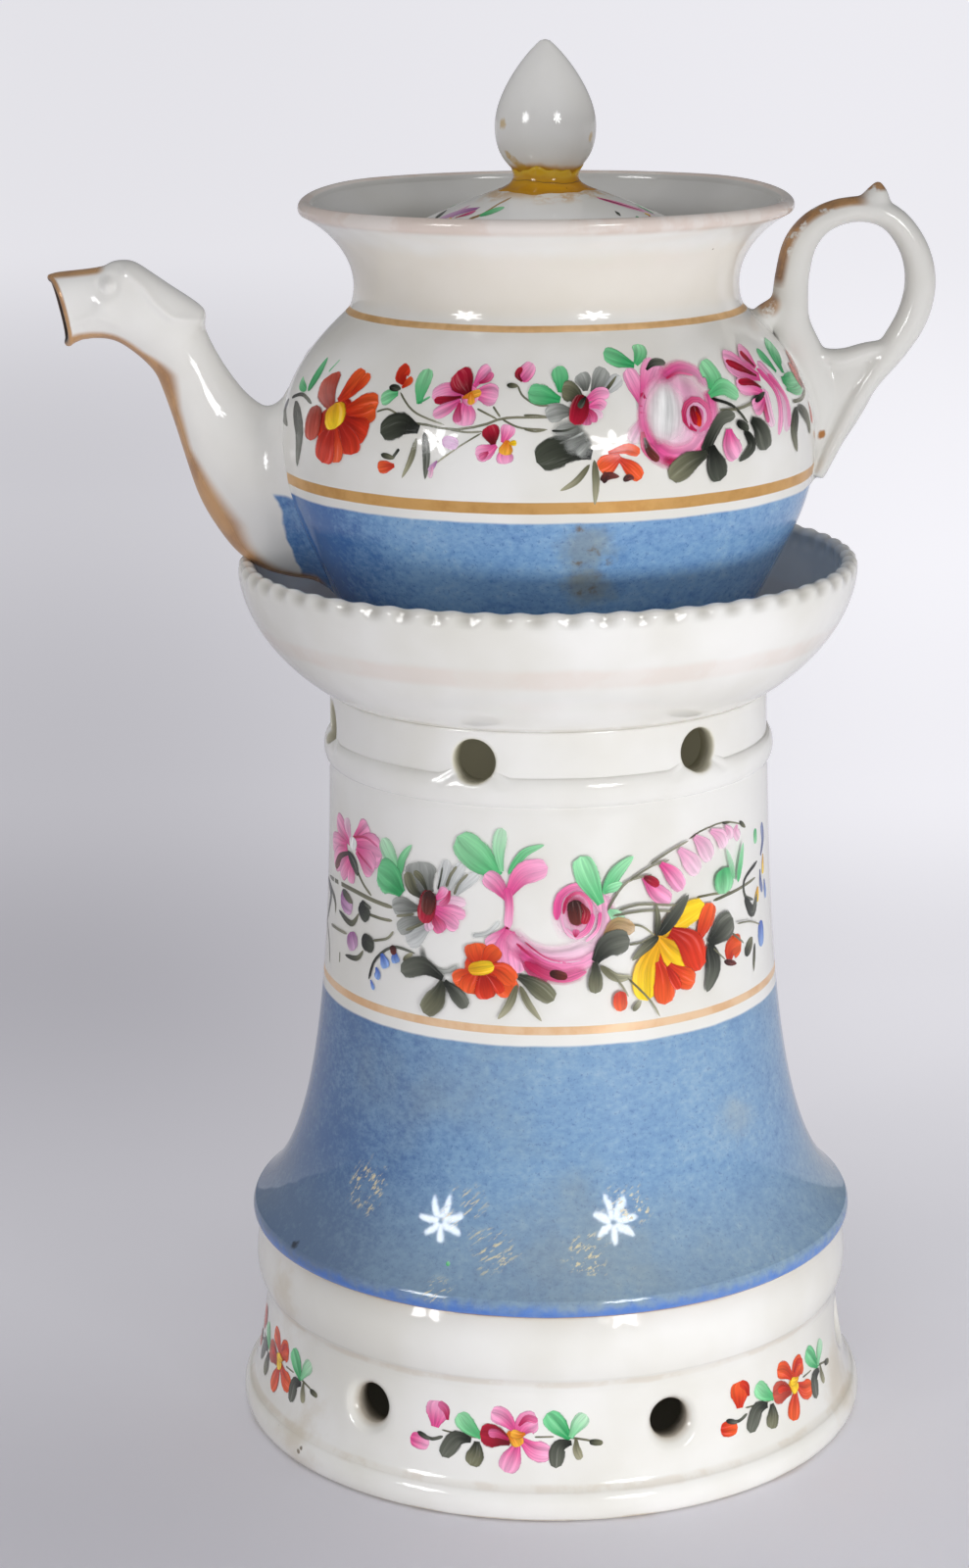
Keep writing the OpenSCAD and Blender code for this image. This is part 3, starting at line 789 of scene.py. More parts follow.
def swept_into_body(piece, fillet, keep=lambda vert: False):
    """Spread the skin over the body where it comes near it."""
    def proud(place):
        return radius_of(place) - radius_at(pot_side, place.z / MM)

    normals = [v.normal.copy() for v in piece.data.vertices]
    moved = 0
    for vert, normal in zip(piece.data.vertices, normals):
        if keep(vert):
            continue
        off = proud(vert.co)
        near = min(max((fillet - off) / fillet, 0), 1)
        if near > 0:
            vert.co += normal * fillet * (1 - math.sqrt(1 - near * near)) * MM
            outwards = Vector((vert.co.x, vert.co.y, 0)).normalized()
            vert.co += outwards * (off - proud(vert.co)) * MM
            moved += 1
    print(piece.name, "spread over the body at", moved, "points")


skin_of = stored(spout, "Skin")
swept_into_body(spout, SPOUT_FILLET,
                lambda v: skin_of[v.index] < FULLY or v.co.x / MM < -belly_r - ROOT_REACH)

# %% [markdown]
# The fine forms of the head are pressed out of its sides: the hood and its edge, the eye in its groove, the
# cheek and the line of the jaw. Each is a height in millimetres and the distance over which it falls off.

# %% Press the head out of the spout
HOOD_EDGE = [(25.8, 31.0), (24.6, 29.9), (22.6, 28.2), (20.7, 25.5), (17.8, 22.8), (12.0, 21.9)]
EYE = (28.7, 28.8)
CHEEK = (29.6, 25.3)
JAW = [(35.5, 21.8), (31.0, 23.4), (27.5, 22.2)]
HOOD_PROUD = 0.55
EDGE_FORM, EYE_FORM, GROOVE_FORM = (0.6, 0.8), (0.75, 0.75), (-0.4, 0.6)
CHEEK_FORM, JAW_FORM = (0.65, 1.7), (0.3, 0.7)
GROOVE_R = 1.6
HEAD_FROM = 10
FLANK_FROM = 3.0


def swelling(off, height, size):
    return height * math.exp(-((off / size) ** 2))


def head_relief(reach, height):
    """How far the side of the head stands out, in millimetres."""
    off, side = way_off(HOOD_EDGE, reach, height)
    eye = math.dist((reach, height), EYE)
    inside = fade(reach, 11.0, 13.0) * (1 - fade(reach, 25.0, 28.0))
    hood = HOOD_PROUD * fade(-side * off, -0.5, 0.5) + swelling(off, *EDGE_FORM)
    return (hood * inside + swelling(eye, *EYE_FORM) + swelling(eye - GROOVE_R, *GROOVE_FORM)
            + swelling(math.dist((reach, height), CHEEK), *CHEEK_FORM)
            + swelling(way_off(JAW, reach, height)[0], *JAW_FORM))


proudest = 0
for vert in spout.data.vertices:
    reach, height = -vert.co.x / MM - belly_r, vert.co.z / MM - belly_z
    if reach < HEAD_FROM or skin_of[vert.index] < FULLY:
        continue
    flank = min(1, abs(vert.co.y) / MM / FLANK_FROM)
    relief = head_relief(reach, height) * flank
    vert.co.y += math.copysign(1, vert.co.y) * relief * MM
    proudest = max(proudest, relief)
print("head pressed out by up to", round(proudest, 2), "mm")

# %% Mark where the spout was gilded
UNDER_LINE = [(s[0], s[1]) for s in smooth_run(SPOUT_STATIONS[1:], 4)]
SNOUT_LINE = [(s[2], s[3]) for s in smooth_run(SPOUT_STATIONS[18:], 4)]
GILT_WIDTHS = [(0.8, -30), (1.6, -22), (4.9, -13), (4.2, -8), (1.9, 0), (2.3, 7), (3.6, 13),
               (1.6, 17), (1.2, 30)]
lip_of = stored(spout, "Lip")


def spout_gilt(vert):
    """The line under the spout, of changing width, the line along the snout, and the lip."""
    reach, height = -vert.co.x / MM - belly_r, vert.co.z / MM - belly_z
    line_w = radius_at(GILT_WIDTHS, height)
    under = 1 - fade(way_off(UNDER_LINE, reach, height)[0], 0.6 * line_w, 1.3 * line_w)
    snout = (1 - fade(way_off(SNOUT_LINE, reach, height)[0], 0.4, 1.1)) * fade(reach, 29.0, 31.0)
    return max(under, snout * (1 - fade(abs(vert.co.y) / MM, 4.0, 5.0)), lip_of[vert.index])


point_values(spout, "Gilt", spout_gilt)

# %% [markdown]
# ## Handle
#
# The handle is an ear: a limb rises from the shoulder, turns over in a ring with a thumb spur on top, and
# runs back down to the belly. Below the ring a thin web fills the fork between two ridges. Each limb is
# lofted on its own, the limbs are joined, and a voxel remesh melts them into one skin that is then
# smoothed, which leaves the soft fillets that slip and glaze leave on the real one. A station is the reach,
# the height, half the thickness and the angle of its section; the spur adds half its width.

# %% Loft the limbs of the handle
RING_LIMB = [
    (-1.6, -4.0, 2.0, 195), (0.4, 2.4, 2.8, 200), (0.6, 8.0, 3.4, 210), (-1.5, 13.6, 3.6, 205),
    (-4.4, 20.0, 3.5, 195), (-4.6, 25.0, 3.2, 182),
    (-4.3, 29.0, 3.05, 178), (-2.9, 34.5, 2.9, 160), (0.7, 38.4, 2.5, 128), (6.5, 40.1, 2.25, 90),
    (12.4, 38.8, 2.3, 55), (16.5, 34.0, 2.5, 22), (18.1, 28.0, 2.75, -2), (17.0, 21.8, 2.8, -24),
    (13.8, 16.3, 2.6, -38), (10.2, 11.6, 2.2, -42), (6.8, 6.4, 1.9, -38), (3.6, 0.2, 1.7, -30),
    (0.4, -6.6, 1.4, -25),
]
FORK_LIMB = [
    (11.6, 16.0, 1.6, 240), (8.2, 15.2, 1.7, 265), (4.2, 14.0, 1.9, 270), (1.2, 14.6, 2.0, 300),
    (-1.6, 17.6, 2.2, 330),
]
WEB = [
    (9.6, 12.8, 2.6, -45), (6.3, 10.6, 5.2, -48), (2.6, 6.0, 6.0, -42), (-0.6, -0.6, 4.8, -30),
    (-4.6, -9.5, 2.6, -15),
]
SPUR = [(9.2, 39.6, 3.8, 0, 3.0), (9.9, 42.4, 2.5, 0, 2.4), (10.2, 43.8, 1.5, 0, 1.5),
        (10.4, 45.0, 0.4, 0, 0.4)]
SHOULDER_FOOT = [(-3.6, 24.4, 2.6, 120), (-6.4, 23.0, 2.4, 120), (-9.0, 21.6, 2.3, 125),
                 (-11.4, 20.4, 1.6, 130)]
LIMBS = ((RING_LIMB, 3.5), (FORK_LIMB, 2.9), (WEB, 2.3), (SPUR, None), (SHOULDER_FOOT, 3.2))
LIMB_STEPS = 4
LIMB_POINTS = 20
VOXEL = 0.32
HANDLE_FILLET = 1.0


def limb_rings(stations, half_width):
    rings = []
    for reach, height, half, angle, *own_width in smooth_run(stations, LIMB_STEPS):
        w = math.radians(angle)
        middle = Vector((belly_r + reach, belly_z + height))
        across = half * Vector((math.cos(w), math.sin(w)))
        width = own_width[0] if own_width else half_width
        rings.append(oval_ring(middle - across, middle + across, width, LIMB_POINTS))
    return rings


handle = joined("handle", [lofted("limb", limb_rings(*limb)) for limb in LIMBS])
finish_with(handle, "REMESH", mode="VOXEL", voxel_size=VOXEL * MM, use_smooth_shade=True)
finish_with(handle, "SMOOTH", factor=0.5, iterations=30)
swept_into_body(handle, HANDLE_FILLET)
print("handle", len(handle.data.polygons), "faces")

# %% Mark where the handle was gilded
RING_MIDDLE = (6.6, 27.0)
GILT_FOOT = (-8.6, 24.0)
GILT_FOOT_SHARE = 0.9


def handle_gilt(vert):
    """The back of the ring between two angles, the tip of the spur, and a spot at the upper foot."""
    reach, height = vert.co.x / MM - belly_r, vert.co.z / MM - belly_z
    off = (reach - RING_MIDDLE[0], height - RING_MIDDLE[1])
    outward = (vert.normal.x * off[0] + vert.normal.z * off[1]) / math.hypot(*off)
    angle = math.degrees(math.atan2(off[1], off[0]))
    back = fade(angle, 78, 92) * (1 - fade(angle, 172, 184)) if angle > 0 else 0
    tip = fade(height, 43.0, 43.8)
    foot = 1 - fade(math.dist((reach, height), GILT_FOOT), 1.0, 2.6)
    return max(back * fade(outward, 0.35, 0.8), tip, GILT_FOOT_SHARE * foot)


point_values(handle, "Gilt", handle_gilt)

# %% [markdown]
# ## Cement
#
# The finial was once broken off and stuck back on. The cement is a fillet between the dome and the neck of
# the finial. It is turned first, and then its foot is smeared out and its top drawn up by different amounts
# round the axis, because a finger and not a wheel made it.

# %% Smear the cement
CEMENT_OUT = 3.6
CEMENT_H = 2.6
CEMENT_SINK = 0.3
SMEAR_OUT, SMEAR_UP = 0.7, 0.8
cement_foot = FINIAL_NECK_R + CEMENT_OUT
cement_top = finial_z + CEMENT_H
cement_top_r = radius_at(finial_side, cement_top)


def dome_height(r):
    """Height of the top of the lid at a radius."""
    return radius_at([(z, radius) for radius, z in dome_rising], r)


cement = turned("cement", (
    [(FINIAL_NECK_R - CEMENT_SINK, finial_z)]
    + [(r, dome_height(r) - CEMENT_SINK) for r in (6.2, 7.4, cement_foot - 0.2)]
    + curve((cement_foot, dome_height(cement_foot)), (FINIAL_NECK_R + 0.7, finial_z - 0.1),
            (FINIAL_NECK_R + 0.05, finial_z + 0.8), (cement_top_r + 0.2, cement_top), 10)
    + [(cement_top_r - CEMENT_SINK, cement_top)]
), SMALL_STEPS)
for vert in cement.data.vertices:
    angle, r, z = angle_of(vert.co), radius_of(vert.co), vert.co.z / MM
    lumps = 0.5 * math.sin(3 * angle + 0.6) + 0.3 * math.sin(7 * angle + 2.1) + 0.2 * math.sin(13 * angle)
    out = fade(r, FINIAL_NECK_R + 0.6, cement_foot) if z < finial_z + 0.4 else 0
    up = fade(z, finial_z + 0.6, cement_top)
    new_r = r + SMEAR_OUT * out * lumps
    new_z = z + dome_height(new_r) - dome_height(r) if out else z + SMEAR_UP * up * lumps
    if up:
        new_r += radius_at(finial_side, new_z) - radius_at(finial_side, z)
    vert.co = Vector((math.cos(angle) * new_r, math.sin(angle) * new_r, new_z)) * MM
print("cement up to", round(max(v.co.z for v in cement.data.vertices) / MM, 1), "mm")

# %% [markdown]
# ## Lamp
#
# Inside the base stands a small porcelain cup for oil, with a ring to lift it by. The ring is a torus that
# is drawn out thicker at its root, where a potter presses it onto the cup.

# %% Turn the oil cup and bend its ring
LAMP_R = 21
LAMP_WALL = 2.4
LAMP_FOOT_R = LAMP_R - 4
LAMP_RING_R = 4.4
LAMP_WIRE_R = 1.4
LAMP_RING_SINK = 0.6
ROOT_WIDER, ROOT_HIGHER = 0.5, 0.25
lamp_h = lamp_top - lamp_z
lamp_roll = LAMP_WALL / 2
float_z = lamp_z + LAMP_WALL
lamp_side = curve((LAMP_FOOT_R, lamp_z + 1), (LAMP_FOOT_R + 1.5, lamp_z + 0.4 * lamp_h),
                  (LAMP_R - 1, lamp_z + 0.6 * lamp_h), (LAMP_R, lamp_top - lamp_roll), 20)
lamp_hollow = [p for p in inset(lamp_side, LAMP_WALL) if p[1] > float_z + 1]
oil_cup = turned("oil_cup", soft(
    [(0, lamp_z), (LAMP_FOOT_R - 1, lamp_z)] + lamp_side
    + arc((LAMP_R - lamp_roll, lamp_top - lamp_roll), (lamp_roll, lamp_roll), 0, 180, 10)
    + lamp_hollow[-2::-1] + [(lamp_hollow[0][0] - 1, float_z), (0, float_z)]), SMALL_STEPS)

ring_z = lamp_z + 0.55 * lamp_h
ring_x = radius_at(lamp_side, ring_z) + LAMP_RING_R - LAMP_RING_SINK
start_clean()
bpy.ops.mesh.primitive_torus_add(major_segments=48, minor_segments=16, major_radius=LAMP_RING_R * MM,
                                 minor_radius=LAMP_WIRE_R * MM, rotation=(math.pi / 2, 0, 0),
                                 location=(ring_x * MM, 0, ring_z * MM))
cup_ring = named("cup_ring")
bpy.ops.object.transform_apply(location=True, rotation=True, scale=True)
for vert in cup_ring.data.vertices:
    root = 1 - fade(vert.co.x / MM, ring_x - LAMP_RING_R - 0.5, ring_x - 0.4 * LAMP_RING_R)
    vert.co.y *= 1 + ROOT_WIDER * root
    vert.co.z += (vert.co.z - ring_z * MM) * ROOT_HIGHER * root
bpy.ops.object.shade_smooth()
print("oil cup", len(oil_cup.data.polygons), "faces, ring", len(cup_ring.data.polygons))

# %% [markdown]
# ## Float
#
# A disc of cork swims on the oil under a tin plate, whose little tube holds the wick. The cork is cut by
# hand, so its points are moved a little at random, with a fixed seed. The wick is three cotton strands:
# a lofted rod whose section has three lobes that turn as it rises.

# %% Cut the cork, the plate and the wick
FLOAT_R = 10
FLOAT_H = 5
FLOAT_STEPS = 72
PLATE_T = 0.6
PLATE_OUT = 0.4
TUBE_H = 3
TUBE_T = 0.5
WICK_R = 1
FIT = 0.3
plate_z = float_z + FLOAT_H
tube_top = plate_z + TUBE_H
bore_r = WICK_R + 1
cork_r = FLOAT_R - 0.1
cork = turned("cork", soft([(bore_r, float_z), (cork_r, float_z), (cork_r, plate_z), (bore_r, plate_z),
                            (bore_r, float_z + 0.1)], 0.4, 0.7), FLOAT_STEPS)
cuts = random.Random(4)
for vert in cork.data.vertices:
    if float_z + 0.3 < vert.co.z / MM < plate_z - 0.3:
        vert.co *= Vector((1, 1, 0)) * (1 - cuts.random() * 0.012) + Vector((0, 0, 1))

plate_r = FLOAT_R + PLATE_OUT
tube_in, tube_out = WICK_R + FIT, WICK_R + FIT + TUBE_T
tin_plate = turned("tin_plate", soft([
    (tube_in, plate_z), (plate_r, plate_z), (plate_r, plate_z + PLATE_T), (tube_out + 0.2, plate_z + PLATE_T),
    (tube_out, tube_top), (tube_in, tube_top), (tube_in, plate_z + 0.1)], 0.15, 1.0), FLOAT_STEPS)

WICK_RINGS = 40
WICK_POINTS = 24
WICK_TWIST = 0.16
LOBE = 0.14
wick_low, wick_high = float_z + 1, tube_top + 3
wick_rings = []
for step in range(WICK_RINGS + 1):
    height = wick_low + step * (wick_high - wick_low) / WICK_RINGS
    slim = WICK_R * (1 - 0.5 * fade(step, WICK_RINGS - 4, WICK_RINGS))
    ring = []
    for i in range(WICK_POINTS):
        w = 2 * math.pi * i / WICK_POINTS
        r = slim * (1 - LOBE + LOBE * math.cos(3 * (w - WICK_TWIST * step)))
        ring.append(Vector((r * math.cos(w), r * math.sin(w), height)))
    wick_rings.append(ring)
wick = lofted("wick", wick_rings)
for piece in (cork, tin_plate, wick):
    print(piece.name, len(piece.data.polygons), "faces")

# %% [markdown]
# ## Where soot, dirt and painted shade gather
#
# Smoke has darkened the insides of the base and the pedestal, and dirt sits round the holes. Painted shade
# darkens the inside of the teapot's neck and the troughs of the flutes on the bowl's rim. The shapes know
# where that is, so each point stores it as a number, and the glaze reads the number by its name.

# %% Mark insides, holes and flutes


def mark_inside(piece, outside, depth):
    """1 where a point lies deeper than that under the outline of the outside."""
    point_values(piece, "Inside", lambda v: float(
        radius_of(v.co) < radius_at(outside, v.co.z / MM) - depth))


def mark_vents(piece, angles, hole_z, radius, reach):
    """1 inside a hole, fading out over the reach beyond its edge."""
    def near(vert):
        _, off = nearest_turn(angle_of(vert.co), angles)
        across = off * radius_of(vert.co)
        return 1 - fade(math.hypot(across, vert.co.z / MM - hole_z), radius, radius + reach)
    point_values(piece, "Vent", near)


base_side = band + shoulder + [(ledge_r, ledge_z), (COLLAR_OUT, ledge_z + 0.1), (COLLAR_OUT, collar_top)]
mark_inside(base, base_side, 2.2)
mark_inside(pedestal, column, 1.6)
mark_inside(pot, pot_side + neck[1:] + [(RIM_R, rim_z)], 2.0)
mark_vents(base, base_vents, BASE_VENT_Z, BASE_VENT_R - 0.2, 1.1)
mark_vents(pedestal, column_vents, COLUMN_VENT_Z, COLUMN_VENT_R - 0.1, 0.6)
# Painted shade and painted reflection in the troughs of the flutes, stored for the glaze.
point_values(bowl, "FluteShade", lambda v: flute_share(v.co))

# %% [markdown]
# ## Node helpers
#
# A finish is a tree of nodes. A wire is what comes out of a node, and it can be reckoned with like a number:
# every sum or product adds a Math node to the tree. The tree has words for the few other steps that all
# finishes here are made of: a mix of two colours, a grain, a stretch, and the place along an axis.

# %% Wires and trees


def tint(code):
    """A colour as it is written for the screen, in the linear numbers that a shader wants."""
    parts = [int(code[i:i + 2], 16) / 255 for i in (0, 2, 4)]
    return [p / 12.92 if p <= 0.04045 else ((p + 0.055) / 1.055) ** 2.4 for p in parts] + [1.0]


class Wire:
    """An output of a node."""

    def __init__(self, nodes, socket):
        self.nodes, self.socket = nodes, socket

    def __getitem__(self, key):
        """Another output of the same node."""
        return Wire(self.nodes, self.socket.node.outputs[key])

    def __add__(self, other):
        return self.nodes.calc("ADD", self, other)

    def __sub__(self, other):
        return self.nodes.calc("SUBTRACT", self, other)

    def __rsub__(self, other):
        return self.nodes.calc("SUBTRACT", other, self)

    def __mul__(self, other):
        return self.nodes.calc("MULTIPLY", self, other)

    def __truediv__(self, other):
        return self.nodes.calc("DIVIDE", self, other)

    def step(self, start, end):
        """0 before the start, 1 after the end, and soft in between."""
        return self.nodes.put("MapRange", {"Value": self, "From Min": start, "From Max": end},
                              interpolation_type="SMOOTHSTEP")


class Nodes:
    """A tree of nodes, and the place at which its textures are looked up."""

    def __init__(self, tree, place=None):
        self.tree, self.place = tree, place

    def feed(self, socket, value):
        """Link a wire to a socket, or write a constant into it."""
        if isinstance(value, Wire):
            self.tree.links.new(value.socket, socket)
        else:
            socket.default_value = value

    def put(self, kind, inputs=None, **settings):
        """Add a node with its settings and what goes into it; the wire is its first output."""
        made = self.tree.nodes.new("ShaderNode" + kind)
        for key, value in settings.items():
            setattr(made, key, value)
        for key, value in (inputs or {}).items():
            self.feed(made.inputs[key], value)
        return Wire(self, made.outputs[0])

    def calc(self, operation, *values):
        return self.put("Math", dict(enumerate(values)), operation=operation)

    def mix(self, share, first, second):
        return self.put("Mix", {0: share, 6: first, 7: second}, data_type="RGBA")[2]

    def grain(self, scale, detail=2.0, rough=0.5, place=None):
        return self.put("TexNoise", {"Vector": place or self.place, "Scale": scale, "Detail": detail,
                                     "Roughness": rough})

    def stretched(self, scale, place=None):
        return self.put("Mapping", {"Vector": place or self.place, "Scale": scale})

    def along(self, axis):
        """The place along X, Y or Z, in millimetres."""
        return self.put("SeparateXYZ", {"Vector": self.place})[axis] * (1 / MM)


# %% [markdown]
# ## Effects that several finishes share
#
# A shader node group is built once and placed in every finish that needs it. Four serve the whole set: a
# band painted on the turning wheel, wear that eats into a coat, a stain round a place, and specks from the
# kiln.

# %% Build the shared groups
HERE = [0.0, 0.0, 0.0]


def new_group(name, inputs, output="Mask"):
    """An empty group, the wires it is given, and the socket of its result; a list as input is a place."""
    group = bpy.data.node_groups.new(name, "ShaderNodeTree")
    inputs = {"Place": HERE, **inputs}
    for key, value in inputs.items():
        kind = "NodeSocketVector" if isinstance(value, list) else "NodeSocketFloat"
        group.interface.new_socket(key, in_out="INPUT", socket_type=kind).default_value = value
    kind = "NodeSocketColor" if output == "Colour" else "NodeSocketFloat"
    group.interface.new_socket(output, in_out="OUTPUT", socket_type=kind)
    nodes = Nodes(group)
    entry, leave = group.nodes.new("NodeGroupInput"), group.nodes.new("NodeGroupOutput")
    given = {key: Wire(nodes, entry.outputs[key]) for key in inputs}
    nodes.place = given["Place"]
    return nodes, given, leave.inputs[output]


band_group, given, mask = new_group("Painted band", {"Low": 0.0, "High": 1.0, "Edge": 0.1, "Wobble": 0.1})
waver = band_group.grain(110.0, 3.0) - 0.5
z_mm = band_group.along("Z") + waver * (given["Wobble"] * 4.0)
above = (z_mm - given["Low"]).step(0.0, given["Edge"])
below = (given["High"] - z_mm).step(0.0, given["Edge"])
band_group.feed(mask, above * below)

wear_group, given, mask = new_group("Wear", {"Coat": 1.0, "Scale": 300.0, "Kept": 0.7})
patchy = wear_group.grain(given["Scale"], 6.0, 0.62)
limit = 0.74 - given["Kept"] * 0.5
wear_group.feed(mask, (patchy - limit).step(-0.04, 0.06) * given["Coat"])

stain_group, given, mask = new_group("Stain", {"Centre": HERE, "Reach": 5.0, "Scale": 400.0, "Density": 0.5})
off = stain_group.put("VectorMath", {0: given["Place"], 1: given["Centre"]}, operation="DISTANCE")["Value"]
share = off * (1 / MM) / given["Reach"]
patchy = stain_group.grain(given["Scale"], 5.0, 0.6)
stain_group.feed(mask, (patchy + given["Density"] - share).step(0.35, 0.75))

speck_group, given, mask = new_group("Specks", {"Scale": 220.0, "Size": 0.05, "Share": 0.08})
cells = speck_group.put("TexVoronoi", {"Vector": given["Place"], "Scale": given["Scale"]})
lot = speck_group.put("SeparateColor", {"Color": cells["Color"]})
chosen = speck_group.calc("LESS_THAN", lot, given["Share"])
dot = 1.0 - (cells["Distance"] / given["Size"]).step(0.4, 1.0)
speck_group.feed(mask, dot * chosen)

# %% [markdown]
# The powder blue is dabbed on with a sponge, and that makes a fifth group. The blue is mottled at three
# sizes, a little drawn out round the piece, and strewn with tiny dark grains of pigment where the powder
# clumped. Its depth says how much darker it lies in a place.

# %% Sponged blue
blue_group, given, colour = new_group("Sponged blue", {"Depth": 0.0}, "Colour")
wide = blue_group.stretched((0.85, 0.85, 1.2))
dabs = blue_group.grain(950.0, 3.0, 0.65, wide)
blots = blue_group.grain(380.0, 3.0, 0.6, wide)
clouds = blue_group.grain(45.0, 3.0, 0.55, wide)
tone = dabs * 0.6 + blots * 0.4 + clouds * 0.5 - (given["Depth"] + 0.25)
blue = blue_group.mix(tone.step(0.1, 0.5), tint("4672ae"), tint("79a2cb"))
blue = blue_group.mix(tone.step(0.42, 0.8), blue, tint("9cbcd5"))
clumps = blue_group.grain(1700.0, 2.0, 0.7).step(0.58, 0.7)
blue_group.feed(colour, blue_group.mix(clumps * 0.5, blue, tint("3a5f9e")))
print("groups", [g.name for g in bpy.data.node_groups])

# %% [markdown]
# ## Porcelain
#
# Every glazed piece starts from the same white, which is a little warm in places; as painted light the
# finial and the spout start whiter, and as painted shade the handle greyer. Each takes coats over it: blue,
# gilding, soot, painted shade, stains. A coat is a mask with a colour, and where it differs also a roughness
# and a metallic share. The finished tree goes into one Principled shader, whose bump is the faint ripple of
# the glaze.

# %% A glaze that takes coats


class Glaze(Nodes):
    """White porcelain under coats of colour."""

    def __init__(self, name, white="efeeea", shade="e4e2da", gloss=0.07):
        self.material = bpy.data.materials.new(name)
        self.material.use_nodes = True
        super().__init__(self.material.node_tree)
        self.place = self.put("TexCoord")["Object"]
        uneven = self.grain(38.0, 3.0).step(0.35, 0.7)
        self.colour = self.mix(uneven, tint(white), tint(shade))
        self.gloss, self.metal = gloss, 0.0
        self.relief = self.grain(90.0) + self.grain(900.0) * 0.03

    def effect(self, group, **values):
        """Place a shared group; its inputs are named as on the group."""
        return self.put("Group", {"Place": self.place, **values}, node_tree=group.tree)

    def band(self, low, high, edge=0.12, wobble=0.08):
        return self.effect(band_group, Low=low, High=high, Edge=edge, Wobble=wobble)

    def worn(self, coat, kept, scale=300.0):
        return self.effect(wear_group, Coat=coat, Kept=kept, Scale=scale)

    def number(self, name):
        """A number that the points of the piece carry."""
        return self.put("Attribute", attribute_name=name)["Fac"]

    def coat(self, mask, colour, gloss=None, metal=None):
        colour = tint(colour) if isinstance(colour, str) else colour
        self.colour = self.mix(mask, self.colour, colour)
        for key, value in (("gloss", gloss), ("metal", metal)):
            if value is not None:
                last = getattr(self, key)
                setattr(self, key, self.put("Mix", {0: mask, 2: last, 3: value}, data_type="FLOAT"))

    def gild(self, mask, colour="c99a52", thin="a87638", gloss=0.3, metal=0.45):
        """A burnished gold line, thinner and browner in places."""
        patchy = self.grain(160.0, 4.0, 0.6).step(0.34, 0.62)
        self.coat(mask, self.mix(patchy, tint(thin), tint(colour)), gloss, metal)

    def stains(self, spots, colour, gloss, scale, density, within=1.0):
        """Stains of one colour within a mask; a spot is its reach and then its centre, in millimetres."""
        for reach, *centre in spots:
            stain = self.effect(stain_group, Centre=[c * MM for c in centre], Reach=reach, Scale=scale,
                                Density=density)
            self.coat(stain * within, colour, gloss)

    def specks(self, share, colour="5a4632", scale=220.0, size=0.05):
        self.coat(self.effect(speck_group, Scale=scale, Share=share, Size=size), colour)

    def dress(self, *pieces, ripple=0.06):
        """Wire the coats into the shader and put the finish on the pieces."""
        bump = self.put("Bump", {"Height": self.relief, "Strength": ripple, "Distance": 0.002})
        shader = self.tree.nodes["Principled BSDF"].inputs
        for key, value in (("Normal", bump), ("Base Color", self.colour), ("Roughness", self.gloss),
                           ("Metallic", self.metal)):
            self.feed(shader[key], value)
        for piece in pieces:
            piece.data.materials.clear()
            piece.data.materials.append(self.material)
        print(self.material.name, len(self.tree.nodes), "nodes on", [p.name for p in pieces])

# %% [markdown]
# ## Base glaze
#
# The base is plain white. Tan dirt lies along the foot, in the groove over the foot roll and under the
# shoulder, and brown soot has come out of the air holes into their dishes. The foot has a chip at the left.

# %% Glaze the base
BASE_DIRT = ((-0.5, 0.9, 0.4), (5.0, 6.8, 0.16), (23.2, 25.2, 0.16), (36.0, 37.3, 0.3))
CHIP = [(0.8, -47.6, -33.1, 5.5), (0.8, -46.5, -34.6, 5.4), (0.8, -45.7, -35.7, 5.2),
        (0.8, -45.9, -35.4, 4.2), (0.8, -46.3, -34.9, 3.2)]
# Tan patches: one at the right of the foot, and at the left one on the foot and one on the shoulder's roll.
BASE_TAN_PATCHES = [(22.0, 54.0, -18.0, 8.0), (20.0, -47.0, -33.0, 6.0), (22.0, -48.6, -25.8, 26.5)]
glaze = Glaze("base_glaze")
for low, high, share in BASE_DIRT:
    dirt = glaze.band(low, high, 0.7, 0.3)
    glaze.coat(dirt * (share * 0.6), "c9b594", 0.25)
    glaze.coat(glaze.worn(dirt, 0.5, 90.0) * share, "b79a70", 0.3)
vent = glaze.number("Vent")
glaze.coat(glaze.worn(vent, 0.95, 240.0) * 0.45, "a58d68", 0.35)
glaze.coat(vent.step(0.75, 1.0) * 0.3, "8a7654", 0.5)
glaze.coat(glaze.number("Inside") * 0.8, "6d6656", 0.4)
glaze.stains(CHIP, "6f675a", 0.3, 900.0, 0.6)
glaze.stains(BASE_TAN_PATCHES, "bfa980", 0.2, 120.0, 0.3, 0.35)
glaze.specks(0.03)
glaze.dress(base)

# %% [markdown]
# ## Pedestal glaze
#
# The blue ground ends under a copper-gold line. It is deepened and darkened at the left as painted shade,
# greyed by grime towards the foot, and bright where the powder gathered along the skirt's edge, which was
# gilded too and is worn to a brown thread. Lifting and setting down has scratched the blue, and the
# scratches show yellow where gold dust stuck to them.

# %% Glaze the pedestal
BLUE_TOP = 82.1
GOLD_LINE = (83.8, 85.4)
OLIVE = [(34.0, 2.0, -50.0, 48.0)]
YELLOWED = [(27.0, 31.4, -29.3, 66.0)]
SCRATCHED = [(7.0, -15.6, -44.4, 53.0), (8.0, -11.0, -48.3, 47.3), (7.0, 5.0, -49.8, 46.5),
             (5.0, -20.8, -50.3, 41.0), (7.0, 12.5, -45.1, 53.9), (8.0, -32.9, -33.4, 53.5)]
BLACK_SPOTS = [(2.2, -46.4, -28.9, 40.6), (1.2, -44.6, -31.5, 41.6)]
SCRATCH_SLANT = -0.9
glaze = Glaze("pedestal_glaze")
height = glaze.along("Z")
near_edge = 1.0 - (height - glaze.grain(450.0, 4.0) * 4.0).step(ledge_z - 1.6, ledge_z + 1.2)
